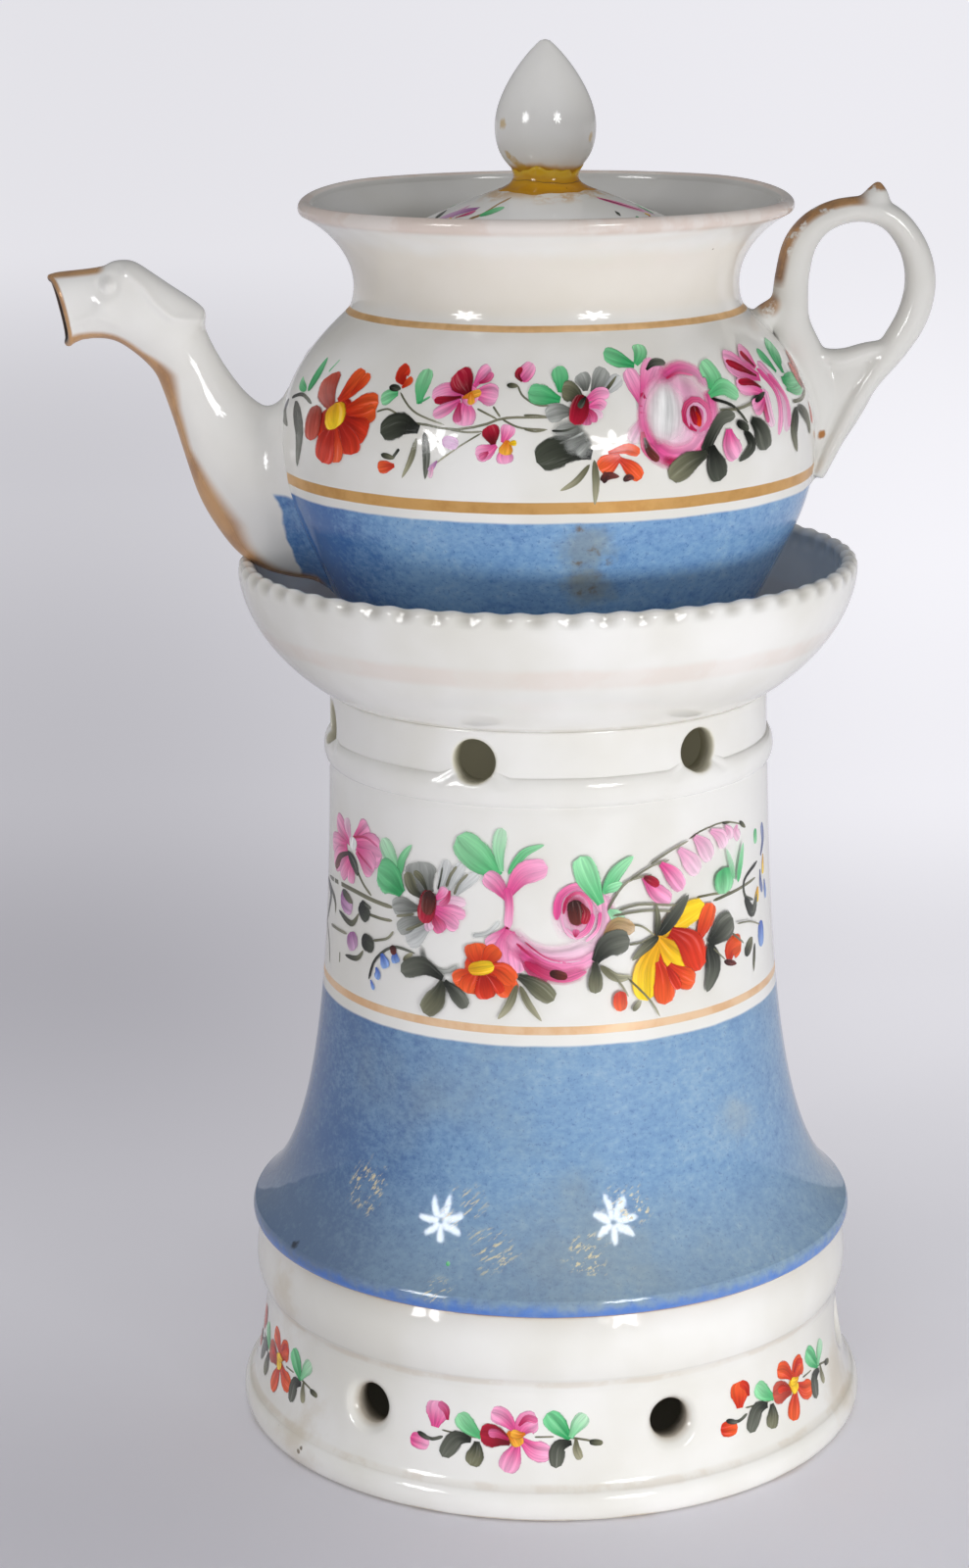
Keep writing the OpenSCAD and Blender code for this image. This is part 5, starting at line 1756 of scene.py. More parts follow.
# %% Paint the teapot
POT_GARLAND = """
# stems and leaves at the left
stem twig .36 -34.9 14.3 4.8 -2.8 7.4 -1.7
.45 -36.2 9.9 8.7 -.2 6.5 -.6 6.3 .8 3.9 1.1 4 .3 6.9 -.1
.36 -21.4 9.1 3.8 -.3 3.3 .2
.36 -10.4 11 3.7 -1.3 5.7 -.3
.36 -15.9 12.5 4.4 -1.5
.36 -12.5 12.9 1.7 -1.6
.36 -7.5 16.1 1.3 -1.6 3 -1.3 2.6 -.1
.36 -39.7 11 2.9 .6 3.3 -.9
pale_olive .3 -14.6 8.7 -4.6 -2.3 -5.5 -3.3
slate .7 -76.2 10.2 6.9 1.2 6.6 -.9
leaf 3.7 -72.6 9.9 7.1 -4.3 -.4 -6.2
2.7 -78.3 9.6 -1.9 -2.3 6.5 -1.7
deep_green 3 -66.9 12.1 .7 3.1 -.4 2.6
green 1.8 -68 12.2 -5 .6 -1.5 1.1
stem pale_green .5 -61.5 15.8 1.7 2.1
petal green 2.6 -35.4 14.1 -2 -.5 -2.1 -.8
3.2 -29.4 12.8 -.4 2.8 0 2.6
stem deep_green .4 -29.7 12.8 2.6 1.2
petal ink 4.7 -28.3 8.8 -4.6 .6 -4.7 -1.7
leaf pale_olive 1.2 -28.6 7.5 -.9 -3.5 -2.1 -3.3
slate 1.6 -27 8.5 1 -3.8 -.2 -3.9
stem .6 -32.5 5.5 -1.6 -1.8
leaf olive 1.1 -36.9 4.3 3.5 -.4
petal orange 2.4 -33.4 2.7 -4.2 -.6
# orange flower
oval red 11.4 -53.7 11.4 3.5 -5.8
petal brick 6.3 -53.7 10.6 -4.2 2.7 -1.8 2.3
orange 4.6 -52.3 11.7 2.5 2.5 1.9 2.8
2.3 -48.8 13.1 1.9 1.8 1.2 1.7
4.1 -49.1 10.6 4.7 1.1 4.6 .7
3.5 -47.7 9.6 5.1 .6 2.6 1
red 4.6 -48.3 9.2 4.5 -1.2 2.8 -.8
5.1 -49.4 8.3 3.6 -2.6 .9 -2.1
orange 5.2 -50.9 7.7 .6 -3.2 0 -2.7
red 6.5 -51.9 7.8 -1.4 -3.3 -.9 -3.1
oval brick 6 -59.9 10.5 .6 -5.9
yellow 6 -52.9 11.4 2.1 -4
# red bud and lilac bud
petal red 3.1 -34.7 15.7 -1.5 1.2 1 1.4
orange 1.5 -34.9 15 2 1.6
leaf ink 1.2 -38.4 15 3.4 -.2
oval lilac 2.3 -22.8 7.4 3.6 -.7
petal 1 -23.6 4 -1.8 -1.8
pale_pink .91 -24.5 3.1 -.7 -2
# pink flower
pink 3.3 -19.7 14.7 -3.5 .2 -3.5 -1
crimson 1.5 -19.7 14.2 -3.1 -.6 -3.2 -.1
pink 2.3 -19.9 13.7 -2.6 -1.3 -3.1 -1.3
4.1 -18.7 13.7 .3 -2 0 -2
rose 1.7 -19.9 13.3 -.2 -1.9 .4 -1.2
pink 2.6 -17.3 15.8 1.5 1.8 1.5 1.1
rose 1.3 -16.3 16.3 1.9 .7 .7 1
pink 3.8 -17.1 14.7 2.8 0 2.7 -.3
oval 3.2 -19.3 15.4 2.9 -2.1
petal crimson 4.4 -18.2 14.6 -1.7 1.6 -2.1 1.8
amber 1.4 -19.5 14 4.1 1
1.4 -17.8 14.9 .6 -1.9
# small pink flower
pink 3 -11.3 6.9 -2 -1.1 -2.3 -.4
rose 1.3 -12.9 5.8 -1.8 -1.1
pink 2.7 -10 7.3 .8 1.6 .5 1.2
3.1 -9.7 6.7 .1 -1.4 .2 -1.4
crimson 3.3 -11.9 7 -.5 1.5 -.8 1.4
amber 2.5 -9.1 7.7 -.4 -2.4
yellow 1 -8.8 7.2 1.6 .1
# pink bud
oval pink 2.7 -7.1 16.8 2.8 2.6
petal crimson 1.1 -6.6 16.7 -1.2 1 1 1.1
leaf olive .9 -10 16.1 2.7 -.1
# stems and leaves in the middle
stem twig .36 -5.9 11.6 2.7 0 2.4 -.3
.36 -5.8 9.5 2.3 -.4 2.3 .3
petal deep_green 3.5 1.8 13.9 -3.4 .7 -3.6 .4
3 1.9 15 .2 1.9 -.7 2
3 19.9 18.7 -3.3 1 -3.7 1
green 2.7 20.3 18.8 2 1.6 .4 1.4
ink 5.6 7.9 5.3 -5.8 .8 -5.3 -1.9
leaf pale_olive 1.2 7.4 3.8 -2.7 -2.7 -3.3 -1.6
1.4 8.3 4.5 .3 -3.8 -.2 -3.7
# grey daisy
soft_oval grey 4.5 7.9 8.4 -5.8 -2.1
3.8 6.8 9.7 -7.3 -.8
petal 3.2 4.3 12.1 -2.8 0 -2.8 -.7
soft_petal 3.4 7.8 7.6 -1.5 -1.1 -1.6 -1.3
petal 3 7.4 15.2 -.2 1.4 -.6 1.3
3.1 8.9 14.9 1.7 1.6 2 2
pale_grey 2.4 11 14.5 2.4 1.4 2.5 1.3
leaf olive .6 10.8 14.4 2.2 1.5 2 1.4
stem slate .4 -.1 9.2 2.7 0 2.3 .6
grey .4 1.4 7.2 2.7 .8 2.3 .9
soft_stem pale_grey 1.6 19 11.1 0 3.2 -1.2 1.7
petal olive 3.6 6.6 13.4 -2.1 1.5 -2.3 .5
pink 2.1 7.2 13.6 2.6 1 2.8 .1
2.1 7.5 12.7 2.5 .4 1.2 -.6
pale_pink 1.7 7.5 12.3 1.9 -.6 .3 -.9
rose 2.2 6.6 12 .3 -1.1 -.1 -1
1.5 7.1 12.6 1.4 -1.2 -.1 -1.1
oval crimson 3.4 6.7 14.6 -2.1 -4.6
petal ink 1.1 7.3 14.3 -1.7 -1.7
# orange flower below
orange 3.6 13.7 4.9 -2.2 -1 -2.2 -1.1
3 13.4 4.5 2.3 -1.6 2.3 -1.8
2.1 11.2 5.5 3.9 .5 2.7 -.8
leaf brown 1.5 9.5 1.1 1.6 .7 2.3 -.2
1.3 10.2 .6 .3 1.2 -.3 .7
1.3 14.2 .8 1.1 .6 1.1 -.3
# rose
petal pink 3.4 19.8 12.2 -.8 3.2 -1.2 2.9
4.9 20 13.4 3 3 3.3 2.5
slate 1.3 22.5 17.9 2.4 1 3.3 -.1
soft_petal pale_pink 3.3 19.1 10.8 -1.5 -2 -1.8 -2.1
soft_oval 15 31.1 18.6 -5.4 -16
stem rose 1.3 20.4 14.5 -1 -2.3 -.3 -2.3
soft_stem pink 3 21.8 4.4 -2.4 4.9 1.2 4 5.5 3.6
2.8 24.8 16.3 6 1.6 4.6 -1 .9 -2.7
stem rose .4 26.7 16.4 3.5 .7 3.8 -.6
soft_stem pink 5.1 20 6.6 4.3 -2.3 5.7 .5 4.2 3.4
rose 2.1 22.2 4.1 4.2 -.9 4.5 1.2 3.3 2.9
pink 3.2 36.4 14.2 -.3 -3.5 -2.5 -3.7
soft_oval white 8.6 26.2 16.5 -3 -10.4
pink 7.2 33 13.6 -2.2 -6.7
stem rose 1 31 8 -2.4 1.6 .6 2.3 3.4 1.1 2.4 -1.6 -.5 -2.3 -2.8 -1.3
pale_pink .6 29.4 8.8 .3 2.3 2.4 1.1 1.8 -1.2 -.7 -1.9
oval crimson 2.4 31.4 12 .1 -3.2
petal red 1 31.6 11 .5 -1.2 -.5 -1.2
rose 2.2 18.6 8.5 .5 -2.4 2.7 -2.2
brown 1.6 18.9 7.6 .9 -2.2 2 -1.6
# leaves beside the rose
green 4.6 37.3 14 1.9 1.8 -1.1 2.6
3.3 36.3 13.2 4.8 1 3.6 -1.7
stem ink .6 36.6 12.7 5.3 -1.5 3.2 -3
twig .54 38 10.8 6.5 -.1 8.7 1.4
leaf ink 1.3 47.9 11.1 5.5 1.2
stem slate 2.2 32.2 4.3 2.1 2.5 3.5 2.6 4 .4
petal pink 4.6 39.3 7.7 0 -2.4 1.6 -2.4
leaf ink 2.2 43.5 7.1 1.9 -2.6 -4.3 -2.3
petal slate 5.1 46.4 8.6 2.4 -2 .9 -3.3
olive 4.3 32.9 4.3 -4.4 -1.2 -4.6 -2.4
ink 4.6 34.1 5.4 .8 -2.8 1.2 -3.1
oval 1.8 41.7 8.5 3.4 -1.2
# striped flower
stem pale_pink 3.3 57.5 16.9 2.7 -3.6 1.1 -4.2 -2.8 -3.5
pink 1.6 55.8 16.1 3.3 -3.7 -1 -3.6 -2.7 -3.5
1.5 59 14.9 3.6 -4.3 -2.3 -4.5
pale_pink 2.5 53.8 12.9 -.9 -3.6 .1 -2.5
rose 1.2 52.3 12.1 -.5 -2.7 0 -1.8
petal pink 4.9 54.5 14.7 -5.2 1.9 -4.1 1.8
4.3 54.9 16.2 -1 1.8 -1.3 1.3
crimson 1.6 53.5 15 -4.2 1.6 -3.9 1.2
1.5 54.8 16.4 -1.3 1.4 -.9 1.1
pink 3.2 52.9 12.4 -3.6 1.2 -4.3 .3
crimson 1.3 53.1 13.2 -3.1 1.1 -4.1 .2
pink 3 52.6 11.5 -2.8 -1 -2.1 -.3
leaf ink 1 49 11.2 4.7 1.2
# leaves and buds at the right
petal deep_green 3.9 67.3 14.4 1.1 2.5 5.5 2.1
2.7 63.8 14.9 -1.3 2.2 -1.8 1.3
4.1 64.5 13.5 3.7 -1 8.9 -.4
1.7 64.5 11.9 5.3 -.8 5.9 0
brick 3 78.9 10.6 -.3 3.1 6.1 2.7
3.1 76.1 11.1 -.8 2 1.6 2.1
red 2.3 78 8.5 -.1 -1.8 -.7 -1.9
stem twig .72 65.3 9.8 6.6 -.2 6.9 .9
leaf olive 3 66.8 8.8 -4.4 -3.6 .8 -3.7
3.2 67.1 8.6 5.4 -2.3 -.1 -2.9
"""
POT_MIDDLE = (0, 180)
FRONT_AND_BACK = (0, 180)
pot_strokes = read_strokes(POT_GARLAND, POT_MIDDLE)
pot_garland = painted("teapot_garland", pot_side, pot_strokes, FRONT_AND_BACK)

# %% Paint the pedestal
PEDESTAL_GARLAND = """
# stems at the left
stem twig .9 -80.8 22.8 17.5 1.1 14.3 -.4 5.3 -.1
.63 -58.3 27.5 2.8 -1.7 3.6 -1.5
.63 -52.6 20.8 4.9 0 3.9 .2
leaf olive 1.3 -80.4 21.7 7.3 -1.9 .7 -2.4
slate 1.8 -85 21.8 7.2 -1.8 -5.7 -6.3
stem twig .54 -83.7 14 5.4 -2.5 2.7 -4
.54 -67.5 11.2 .1 -1.9
# pink flower
petal pink 4.6 -62.6 32.2 -4.7 1.4 -5.2 1.7
pale_pink 3.1 -62.5 32.8 -1.7 1.9 -1 1.7
pink 4.7 -64.6 31.6 -5.5 -.9 -6.8 -.7
4.8 -64 30.6 -4.7 -1.9 -5.6 -2.3
brown 2.2 -63.1 30.4 -5.6 -2 -4.6 -2.5
pink 4.2 -62.2 29.8 -3.2 -2.4 -3.1 -2.1
3.2 -61 29.2 -.7 -2.3 -.2 -2
4.8 -60.3 33.2 4.5 2 2.7 1.3
6.8 -59.9 32.5 6.2 .1 5.9 -.3
5.6 -59 31.5 4.7 -1.2 3.4 -1.4
stem rose .5 -61.1 33.5 6.7 1 5.1 -1
.5 -58.5 31.3 4.2 -1.3 2.7 -.9
oval white 3.1 -60.6 33.6 -.3 -2.3
leaf ink 2.3 -63.6 30.4 3.5 -1.6 2.1 -1.9
# green leaves at the left
petal pale_green 3.8 -41.2 29.2 -3.5 3.3 -3.1 2.8
leaf green 1.8 -41.4 29.4 .8 3.1 3.2 3
petal deep_green 7.1 -40.5 26.3 -3.6 2 -5.1 1.4
# violet buds
oval lilac 4.5 -68.1 21.5 7.5 -1
leaf olive 1.8 -67 22.8 6.5 -1.3
1.3 -69.2 18.7 8.2 -1 3.8 2.6
oval ink 3.7 -57 22.1 4.2 -2.3
stem slate .7 -56 22.7 4.1 -.7
oval lilac 4.5 -61.4 16.1 2.3 -3
leaf olive 1.1 -63.8 11.4 6.4 .6 2.8 2
oval ink 3.6 -55.6 15.9 5.4 -.7
stem twig .54 -50.6 16.4 5.2 1.2 2.2 1.6
.63 -75.4 14.8 12.2 .6
# blue spray
slate .6 -51.8 9.2 2.2 3.9 6.4 3.3 7.1 -.2
petal blue 2.6 -47.2 14.6 1 -1.2 .9 -1.2
2.2 -42.7 15.8 .3 -1.3 .4 -.9
oval brown 1.7 -43.5 16.7 .8 -1.7
petal blue 1.7 -49.1 11.8 .7 -1 -.5 -1.1
1 -51 9.2 1.4 -1.6
leaf pale_olive 1.1 -39.8 14.4 3.1 1.8
# grey daisy
petal pale_grey 3.9 -32 21.4 -3.5 -2 -3.3 -1.5
grey 3.3 -33.8 22.6 -4.1 -1.3 -3.9 -1.6
3.8 -35.2 24.3 -4.2 0 -4.3 -.8
stem twig .63 -33.3 22.1 -2.7 -1.1 -3 -1
.54 -36.5 23.2 -2.9 -.6 -2.8 -.5
petal grey 7.4 -32 27.3 -2.3 2.7 -1 2.7
olive 2.8 -34.3 26.5 -2.8 1.3 -1.8 2.7
1.5 -32.5 27.5 -1.8 2.2 -2.4 1.1
pale_grey 2.5 -29 28.1 1.2 2.8 .9 3
2.5 -26.5 28.3 1.6 2.6 2.3 2.7
2.1 -24.5 27.7 2.8 2.3 3.2 2.1
stem twig .63 -27.1 29 1 2 1.8 1.9
.54 -25 27.8 1.3 2.1 2.4 1.8
slate .4 -29.5 28.3 .7 2 .6 2.1
soft_stem grey 1.7 -34.1 18 1.4 -3.1 5.6 -1 4 1.9
pale_grey 1.4 -20.8 20.8 4.6 .8 3.4 2.6
petal pink 2.2 -30.3 26.4 2.1 1.3 1.1 1.1
pale_pink 2.3 -29.9 25.6 3.8 .9 4.4 0
pink 2.7 -29.9 25.1 3.8 -.2 4.3 -.6
3.2 -30.3 24.5 3.4 -1.3 3.1 -1.2
rose 3 -30.7 23.7 1.3 -1.5 1.3 -1.4
pale_pink 2.1 -32 23 0 -1.3 .6 -.9
rose 1.3 -26.1 28.4 -.8 -1.7 -2.1 -1.2
oval crimson 4 -31.6 28 -1.9 -6.1
brown 3 -31.6 27.9 -1 -4.4
# green leaves at the top
petal green 6.3 -13.3 31.7 -4.8 2.8 -6.2 3.6
pale_green 2.7 -12.7 32.6 -.7 4 .8 3.7
leaf green 1.6 -11.1 32.1 3.9 3.8 5.1 1.6
# outer petals of the rose
petal pink 3.6 -11.2 27.7 -2.7 2.5 -3.2 1.7
4.4 -11.2 28.2 3.6 4 6.3 1.4
stem 1.6 -11.4 29.8 .6 -3.2 -.4 -4.2
petal 2.8 -11.2 22.9 -2 -1.9 -3.5 -1.6
stem crimson .6 -11.3 22.9 -.5 -1.6 -1.1 -1.4
petal pink 4.2 -10.9 22.4 -1.1 -3.2 1.9 -5
3.5 -10.2 22.1 1.1 -3.4 .8 -3.9
rose 2.1 -9.4 21.4 2.2 -3.2 1.8 -3.4
3.6 -8.7 20.1 3.3 -3.4 3.6 -3.4
crimson 2.2 -6.9 18.5 3.7 -1.8 4 -1.9
# orange flower
oval orange 6.8 -17.9 18.3 .5 -6.6
petal 4.8 -17.6 15.4 -1.2 2.3 -.6 2
3.5 -17.3 15.7 1.9 2 2 1.5
3.8 -18.8 14.8 -3.1 -1.3 -3 -1.1
4.2 -18.8 14.6 -1.5 -2 -.7 -2
red 4.2 -17.2 14.4 .4 -2.4 .7 -2.1
orange 4.7 -16.1 15 3.4 -1.7 2.8 -2.4
3.8 -16.1 15.5 3.4 -.4 3.3 -2
red 2.2 -16.1 14.2 2.3 -1.5 1.1 -1.6
oval yellow 2.8 -21 14.8 6.6 1.1
# dark leaves below
petal slate 3.9 -27.7 12.7 -5.8 1.6 -6.6 -1.9
olive 4.4 -27.7 12.2 -1.7 -3.1 -3.5 -3.1
slate 3.1 -27.2 12.3 3 -1.9 3.1 -2.3
olive 3.8 -8.5 14.3 4.2 -1.6 4.3 -2.6
leaf pale_olive 1.6 -8.8 12.9 -2 -3.8 -2.7 -2.6
1.4 -8.1 12.7 2 -3.2 3.2 -3.1
# rose
soft_oval pale_pink 10.2 5.7 30.9 .4 -11.1
soft_stem 4.2 10.8 29.6 2 -4.5 -1.1 -4.4 -3.5 -3.2
5.2 -11.7 22.5 3.9 -3.2 6.1 -1.6 6.8 .5 5.8 2
pink 3.6 -9.7 19.8 4.9 -2.6 6.5 -1.1 6.1 .6 3.9 2.3
rose 3.3 -7 17.1 4.5 -2.1 5.3 -.8 5.4 1.4
stem 1.3 -7 16.9 4.5 -2.2 5.3 -.9 5 1.3
.5 -9 20.1 5 -2.9 5.7 -1.6
.3 -7 20.4 5.3 -2.8 6 -1.1
pale_pink .3 -5.5 19.1 5.3 -2.2 6.8 .1
oval brown 1.8 -1.1 15 4.4 -.8
stem pink 1.5 .8 24.3 .6 3.9 3.9 1.9 4.1 -1.2 2.2 -3.5
rose .7 2.4 25.3 .8 2.5 2.8 1.2 2.7 -1.5 .8 -2.7
pink 1.2 9.5 25.2 -1.2 -2.7 -3.1 -1.2 -2.7 1.6
.7 11.4 25.4 -.7 -3 -2.9 -2.1
pale_pink .5 1.8 25.4 .9 -2.7 2.8 -2
soft_oval rose 4.6 5.1 28.9 1.2 -6.6
oval brown 3.2 4.9 27.8 1.1 -4.6
petal crimson 1.7 6.8 27 1.2 -1.7 -.8 -1.9
rose 1.3 5.2 21.2 .3 1.4
# green leaves at the rose
green 4.6 11.6 26.8 -2.8 4.2 -2.3 4.4
leaf 2.7 12.3 28.4 3.2 3.7 4.5 2.7
petal pale_green 2.5 13.4 25.6 1.6 -.9 2 -1.5
green 1.9 12.3 28.9 1.6 .5 3.2 .7
# bell spray
stem twig .54 13.2 25.6 2.2 2.6 3.3 2.3 6.1 .6
.45 19 30.6 5.7 2 5.1 .6
.45 24.5 33 5.6 1.8 5.5 1.2
.36 36.4 36.1 4.7 1 8.4 .3 9.4 -2
leaf olive .6 48.2 37.4 4 -.4
1 56 36.5 3.4 -1.6
petal pink 3.5 22.7 30.9 3.2 -2.9 4.2 -2.2
crimson 1.8 22.6 30.8 1.6 -.5 2.6 -1.3
pink 3.5 27.3 32.8 3.2 -2.2 3.2 -3.1
pale_pink 3.8 32.7 34.8 3.1 -2.3 3 -2.7
3.8 37.5 36.4 3 -2 2.5 -2.8
3.4 43.1 36.8 3.8 -1.6 1.6 -2.1
2.5 48.6 36.9 1.9 -1.4 0 -1.3
2.4 54.9 36.1 -.5 -1.2 1.6 -1.5
# stems at the right
stem twig .54 16 25.5 6 .6 9.9 -1.2
.54 14.6 24.6 8.2 .3 7.9 -.9
pale_olive .4 17.8 22.8 4.1 -.6 3.3 -1.9
.5 38.6 25.4 5.5 -.2 7.1 -.6
twig .63 44.3 24 10.2 .4 10.3 .4
.45 18.5 19.2 3.7 .2 3.5 1.1
# tulip
oval orange 6.5 26.9 19 9 -6.7
petal yellow 4.9 25.7 19.9 5.9 2.2 8.9 2.1
5.5 26.5 19.3 -3.6 -4.9 0 -5.5
5.5 26.5 19.6 3.9 -3.2 4.4 -2.3
orange 4.1 37.7 17.7 2.8 3 2.4 3.3
red 6 29.8 20.6 5.4 -2.9 3.2 -5.2
orange 4.7 26.1 15.6 1.4 -3.6 .1 -4.3
4.3 29 14.6 3.5 -2.4 4 -1.6
red 2.1 28.5 14.4 1.7 -2.2 1.7 -2.2
leaf slate 2.8 26.3 20.1 4.4 2.9 4.7 3.5
olive 1.9 26.4 20 -3.4 -1.5 -3.9 -2.2
1.3 25.7 19.9 .5 3 -.4 3
# leaves below the tulip
petal ochre 3.1 12 20.4 3.3 2.6 4.7 -1.5
slate 5.1 9.9 16.7 3.4 2.8 5.4 .6
olive 2.8 9.9 16.7 .1 -2.8 -.1 -2.8
leaf pale_olive 1.7 11.1 16 4 -2.4 4 0
stem .4 11.6 16 4.3 -3.3 2.1 -2.6
.4 17.9 13.4 5.6 -4.4 2.5 -3.2
oval orange 2.8 15.9 11.2 .1 -3.6
leaf pale_olive 1.2 19.1 7.4 2.2 1.7
# dark leaves and buds at the right
petal slate 5.8 41.7 16.7 4.4 1.7 4.8 1.5
leaf 4 41.4 16.7 1.5 -4.3 -2.8 -4.2
petal orange 4.8 49.9 12.1 .9 2.1 4.8 .4
leaf brown 1.3 47.6 12.5 5.3 -1.3
stem twig .36 43 15.7 4.1 -2.7
.45 50.4 17.2 4.8 -2.6
oval green 5.7 47.7 29.5 .3 -4.7
leaf pale_green 1.5 51.9 26.8 -1.3 3 -1.8 3
green 1.7 53.4 25.9 1.5 3.5 1.5 3.4
stem twig .36 52.6 18.6 6.1 -.7 6 -1.7
oval blue 3.5 67.6 16.4 -.3 -4.9
leaf olive 2.8 57.1 11.8 4.4 2.7
1.2 62.7 13.2 -1.6 -5.1
# pansy
oval green 1.9 65.4 33.7 .3 -2.9
petal slate_blue 2.3 69.5 28 2.6 2.7 -1.3 3.1
yellow 1.7 71.7 27.9 -.6 -3.7
slate_blue 1.7 68.6 25.6 .2 -2.4 1.4 -2
yellow 2.2 66.5 22.8 -1.6 -2.6
stem slate .8 66.3 27.5 -8 -1.8 -.1 -3.1 4.7 -1.5
leaf 2.5 57.9 22.4 4.3 -3.4 3.4 2.8
petal blue 1.7 72.3 23.1 .9 -3.7
# stray dab
oval green .8 -21.6 -35.8 .4 .6
"""
PEDESTAL_MIDDLE = (0, 80)
pedestal_strokes = read_strokes(PEDESTAL_GARLAND, PEDESTAL_MIDDLE)
pedestal_garland = painted("pedestal_garland", skirt, pedestal_strokes, FRONT_AND_BACK)

# %% [markdown]
# ## Sprigs of the base and the lid
#
# Round the base a sprig stands between the air holes, in turn pink and red. The lid has two small sprigs,
# left and right of the finial, and the same two again at the back.

# %% Paint the base and the lid
SPRIG = """
stem twig .36 -13.8 .5 3.5 -.3 3.5 -.3
slate .7 -18.4 -.6 2.6 -.8 2.3 .8
twig .36 3.8 .7 3.6 .1
.45 9.9 .7 3.8 -.7 2.5 -.7
petal pink 4.9 -15.2 .8 .3 2.4 .2 2.4
rose 1.7 -12.7 2.4 -.4 1.8 -1.6 1.1
oval pink 3.2 -20.1 -1.9 4 -.5
leaf slate 1.1 -18.7 -.6 2.8 -1
petal green 3.6 -6.1 .1 -2.5 1.7 -2.1 2
slate 3.5 -8 -.6 -2.8 0 -2.6 -3.6
olive 3.5 -6.9 -.7 -.1 -2.1 -.9 -2.2
pink 3.6 .3 1.6 -2.1 2.2 -2.6 .9
4.7 .7 .7 1.4 2.2 2.3 .8
rose 1.5 .9 2.6 1.5 1.4 2 -.5
pink 4 1.3 .2 2.5 -1.8 3 -.5
4 .7 -.4 -1 -2.6 -1.2 -2.6
crimson 4.6 -.6 -.4 -2.8 .9 -3 .2
rose 1.8 -.9 .1 -2.3 .9 -1.6 -.1
amber 2.7 -1.2 1.4 1.4 -1 .9 -1.4
1.8 2.1 1.3 -1.3 -.3 -1.4 .4
deep_green 4 10.4 .4 -2.2 2.3 -2.2 2.2
pale_green 3 10.4 .6 1.4 2.3 1.6 1.7
slate 3.1 10.6 -.3 -2.4 -.7 -.5 -3.7
pale_olive 1.7 11.4 .5 .1 -2.1 .7 -1.7
oval olive 1.3 13.8 -.3 2.6 -.3
"""
LID_SPRIGS = """
# left sprig
stem ochre .6 -46 10.6 5 .8 2 1.5 4.4 .9
leaf green 1.2 -42 11.2 6 .7 5.6 .5
deep_green .8 -45 10.4 6 -.6 6 -.3
petal pale_pink 1.3 -60 10.5 -4 .9 -3 .8
lilac 1.5 -51 12.1 -10.7 -.8 -9.3 -1
rose .8 -57 10.6 4 .6 4 .4
pink .9 -58 10 5 -.4 5 -.1
2.4 -60 9.7 -.5 -1 -1 -1
oval yellow .6 -61.5 10.3 3 -.1
leaf slate .7 -73 10.2 -7 .5 -7 .5
# right sprig
stem .5 46 11.5 -2.8 -.5
petal pink 1.3 50 13.5 12.5 -1.2 9.5 -1.2
stem crimson .3 52 13.4 10.5 -1.1 8.5 -1.1
petal pale_pink 1.6 74.6 11.6 -.5 -.6 -.6 -.7
leaf green .8 76 10.5 5 .8 5 .6
petal rose 1.8 66 10.4 .5 -1 .5 -1
oval yellow .5 66.5 10.6 3 0
leaf deep_green .8 56 10.6 -6 -.8 -5 -.3
"""
SPRIG_MIDDLE = (-8, 14)
LID_MIDDLE = (0, 210)
RED_SPRIG = {"pink": "orange", "rose": "red", "crimson": "brick", "amber": "yellow"}
pink_sprigs = painted("pink_sprigs", band, read_strokes(SPRIG, SPRIG_MIDDLE), (0, 120, 240))
red_sprigs = painted("red_sprigs", band, read_strokes(SPRIG, SPRIG_MIDDLE, RED_SPRIG), (60, 180, 300))
base_sprigs = joined("base_sprigs", [pink_sprigs, red_sprigs])
lid_sprigs = painted("lid_sprigs", dome, read_strokes(LID_SPRIGS, LID_MIDDLE), FRONT_AND_BACK)
bpy.data.objects.remove(brush)

# %% [markdown]
# ## Enamel
#
# A loaded brush leaves streaks along the stroke, pale where the paint ran thin and dark where it pooled,
# and the edge is a little ragged. The streaks follow the numbers that each point carries: how far across
# the stroke it lies, how far along, and which stroke it belongs to.

# %% Mix the enamel
enamel = bpy.data.materials.new("enamel_paint")
enamel.use_nodes = True
nodes = Nodes(enamel.node_tree)
shader = nodes.tree.nodes["Principled BSDF"].inputs
paint = nodes.put("Attribute", attribute_name="Paint")
nodes.place = nodes.put("Attribute", attribute_name="Stroke")["Vector"]
streaks = nodes.grain(1.5, 4.0, 0.6, nodes.stretched((1.9, 0.45, 1.0)))
bright = nodes.put("MapRange", {"Value": streaks, "From Min": 0.3, "From Max": 0.7,
                                "To Min": 0.7, "To Max": 1.42})
colour = nodes.put("HueSaturation", {"Color": paint["Color"], "Value": bright})
thin = streaks.step(0.56, 0.74) * 0.12
nodes.feed(shader["Base Color"], nodes.mix(thin, colour, tint("f1efe9")))
across = nodes.calc("ABSOLUTE", nodes.put("SeparateXYZ", {"Vector": nodes.place})["X"])
ragged = (nodes.grain(5.0, 3.0, 0.6) - 0.5) * 0.3
edge = 1.0 - (across + ragged).step(0.82, 0.98)
nodes.feed(shader["Alpha"], edge * paint["Alpha"])
nodes.feed(shader["Roughness"], 0.16)
nodes.feed(shader["Normal"], nodes.put("Bump", {"Height": streaks, "Strength": 0.12, "Distance": 0.0004}))
PAINTINGS = {"base": base_sprigs, "pedestal": pedestal_garland, "teapot": pot_garland, "lid": lid_sprigs}
for piece in PAINTINGS.values():
    piece.data.materials.clear()
    piece.data.materials.append(enamel)
print("enamel", len(nodes.tree.nodes), "nodes")

# %% [markdown]
# ## Seat the pieces
#
# Each piece moves with one body of the frame and stands for the solid it was built over. The solids stay in
# the motion model for collision and are only hidden here. The paintings ride along with their pieces.

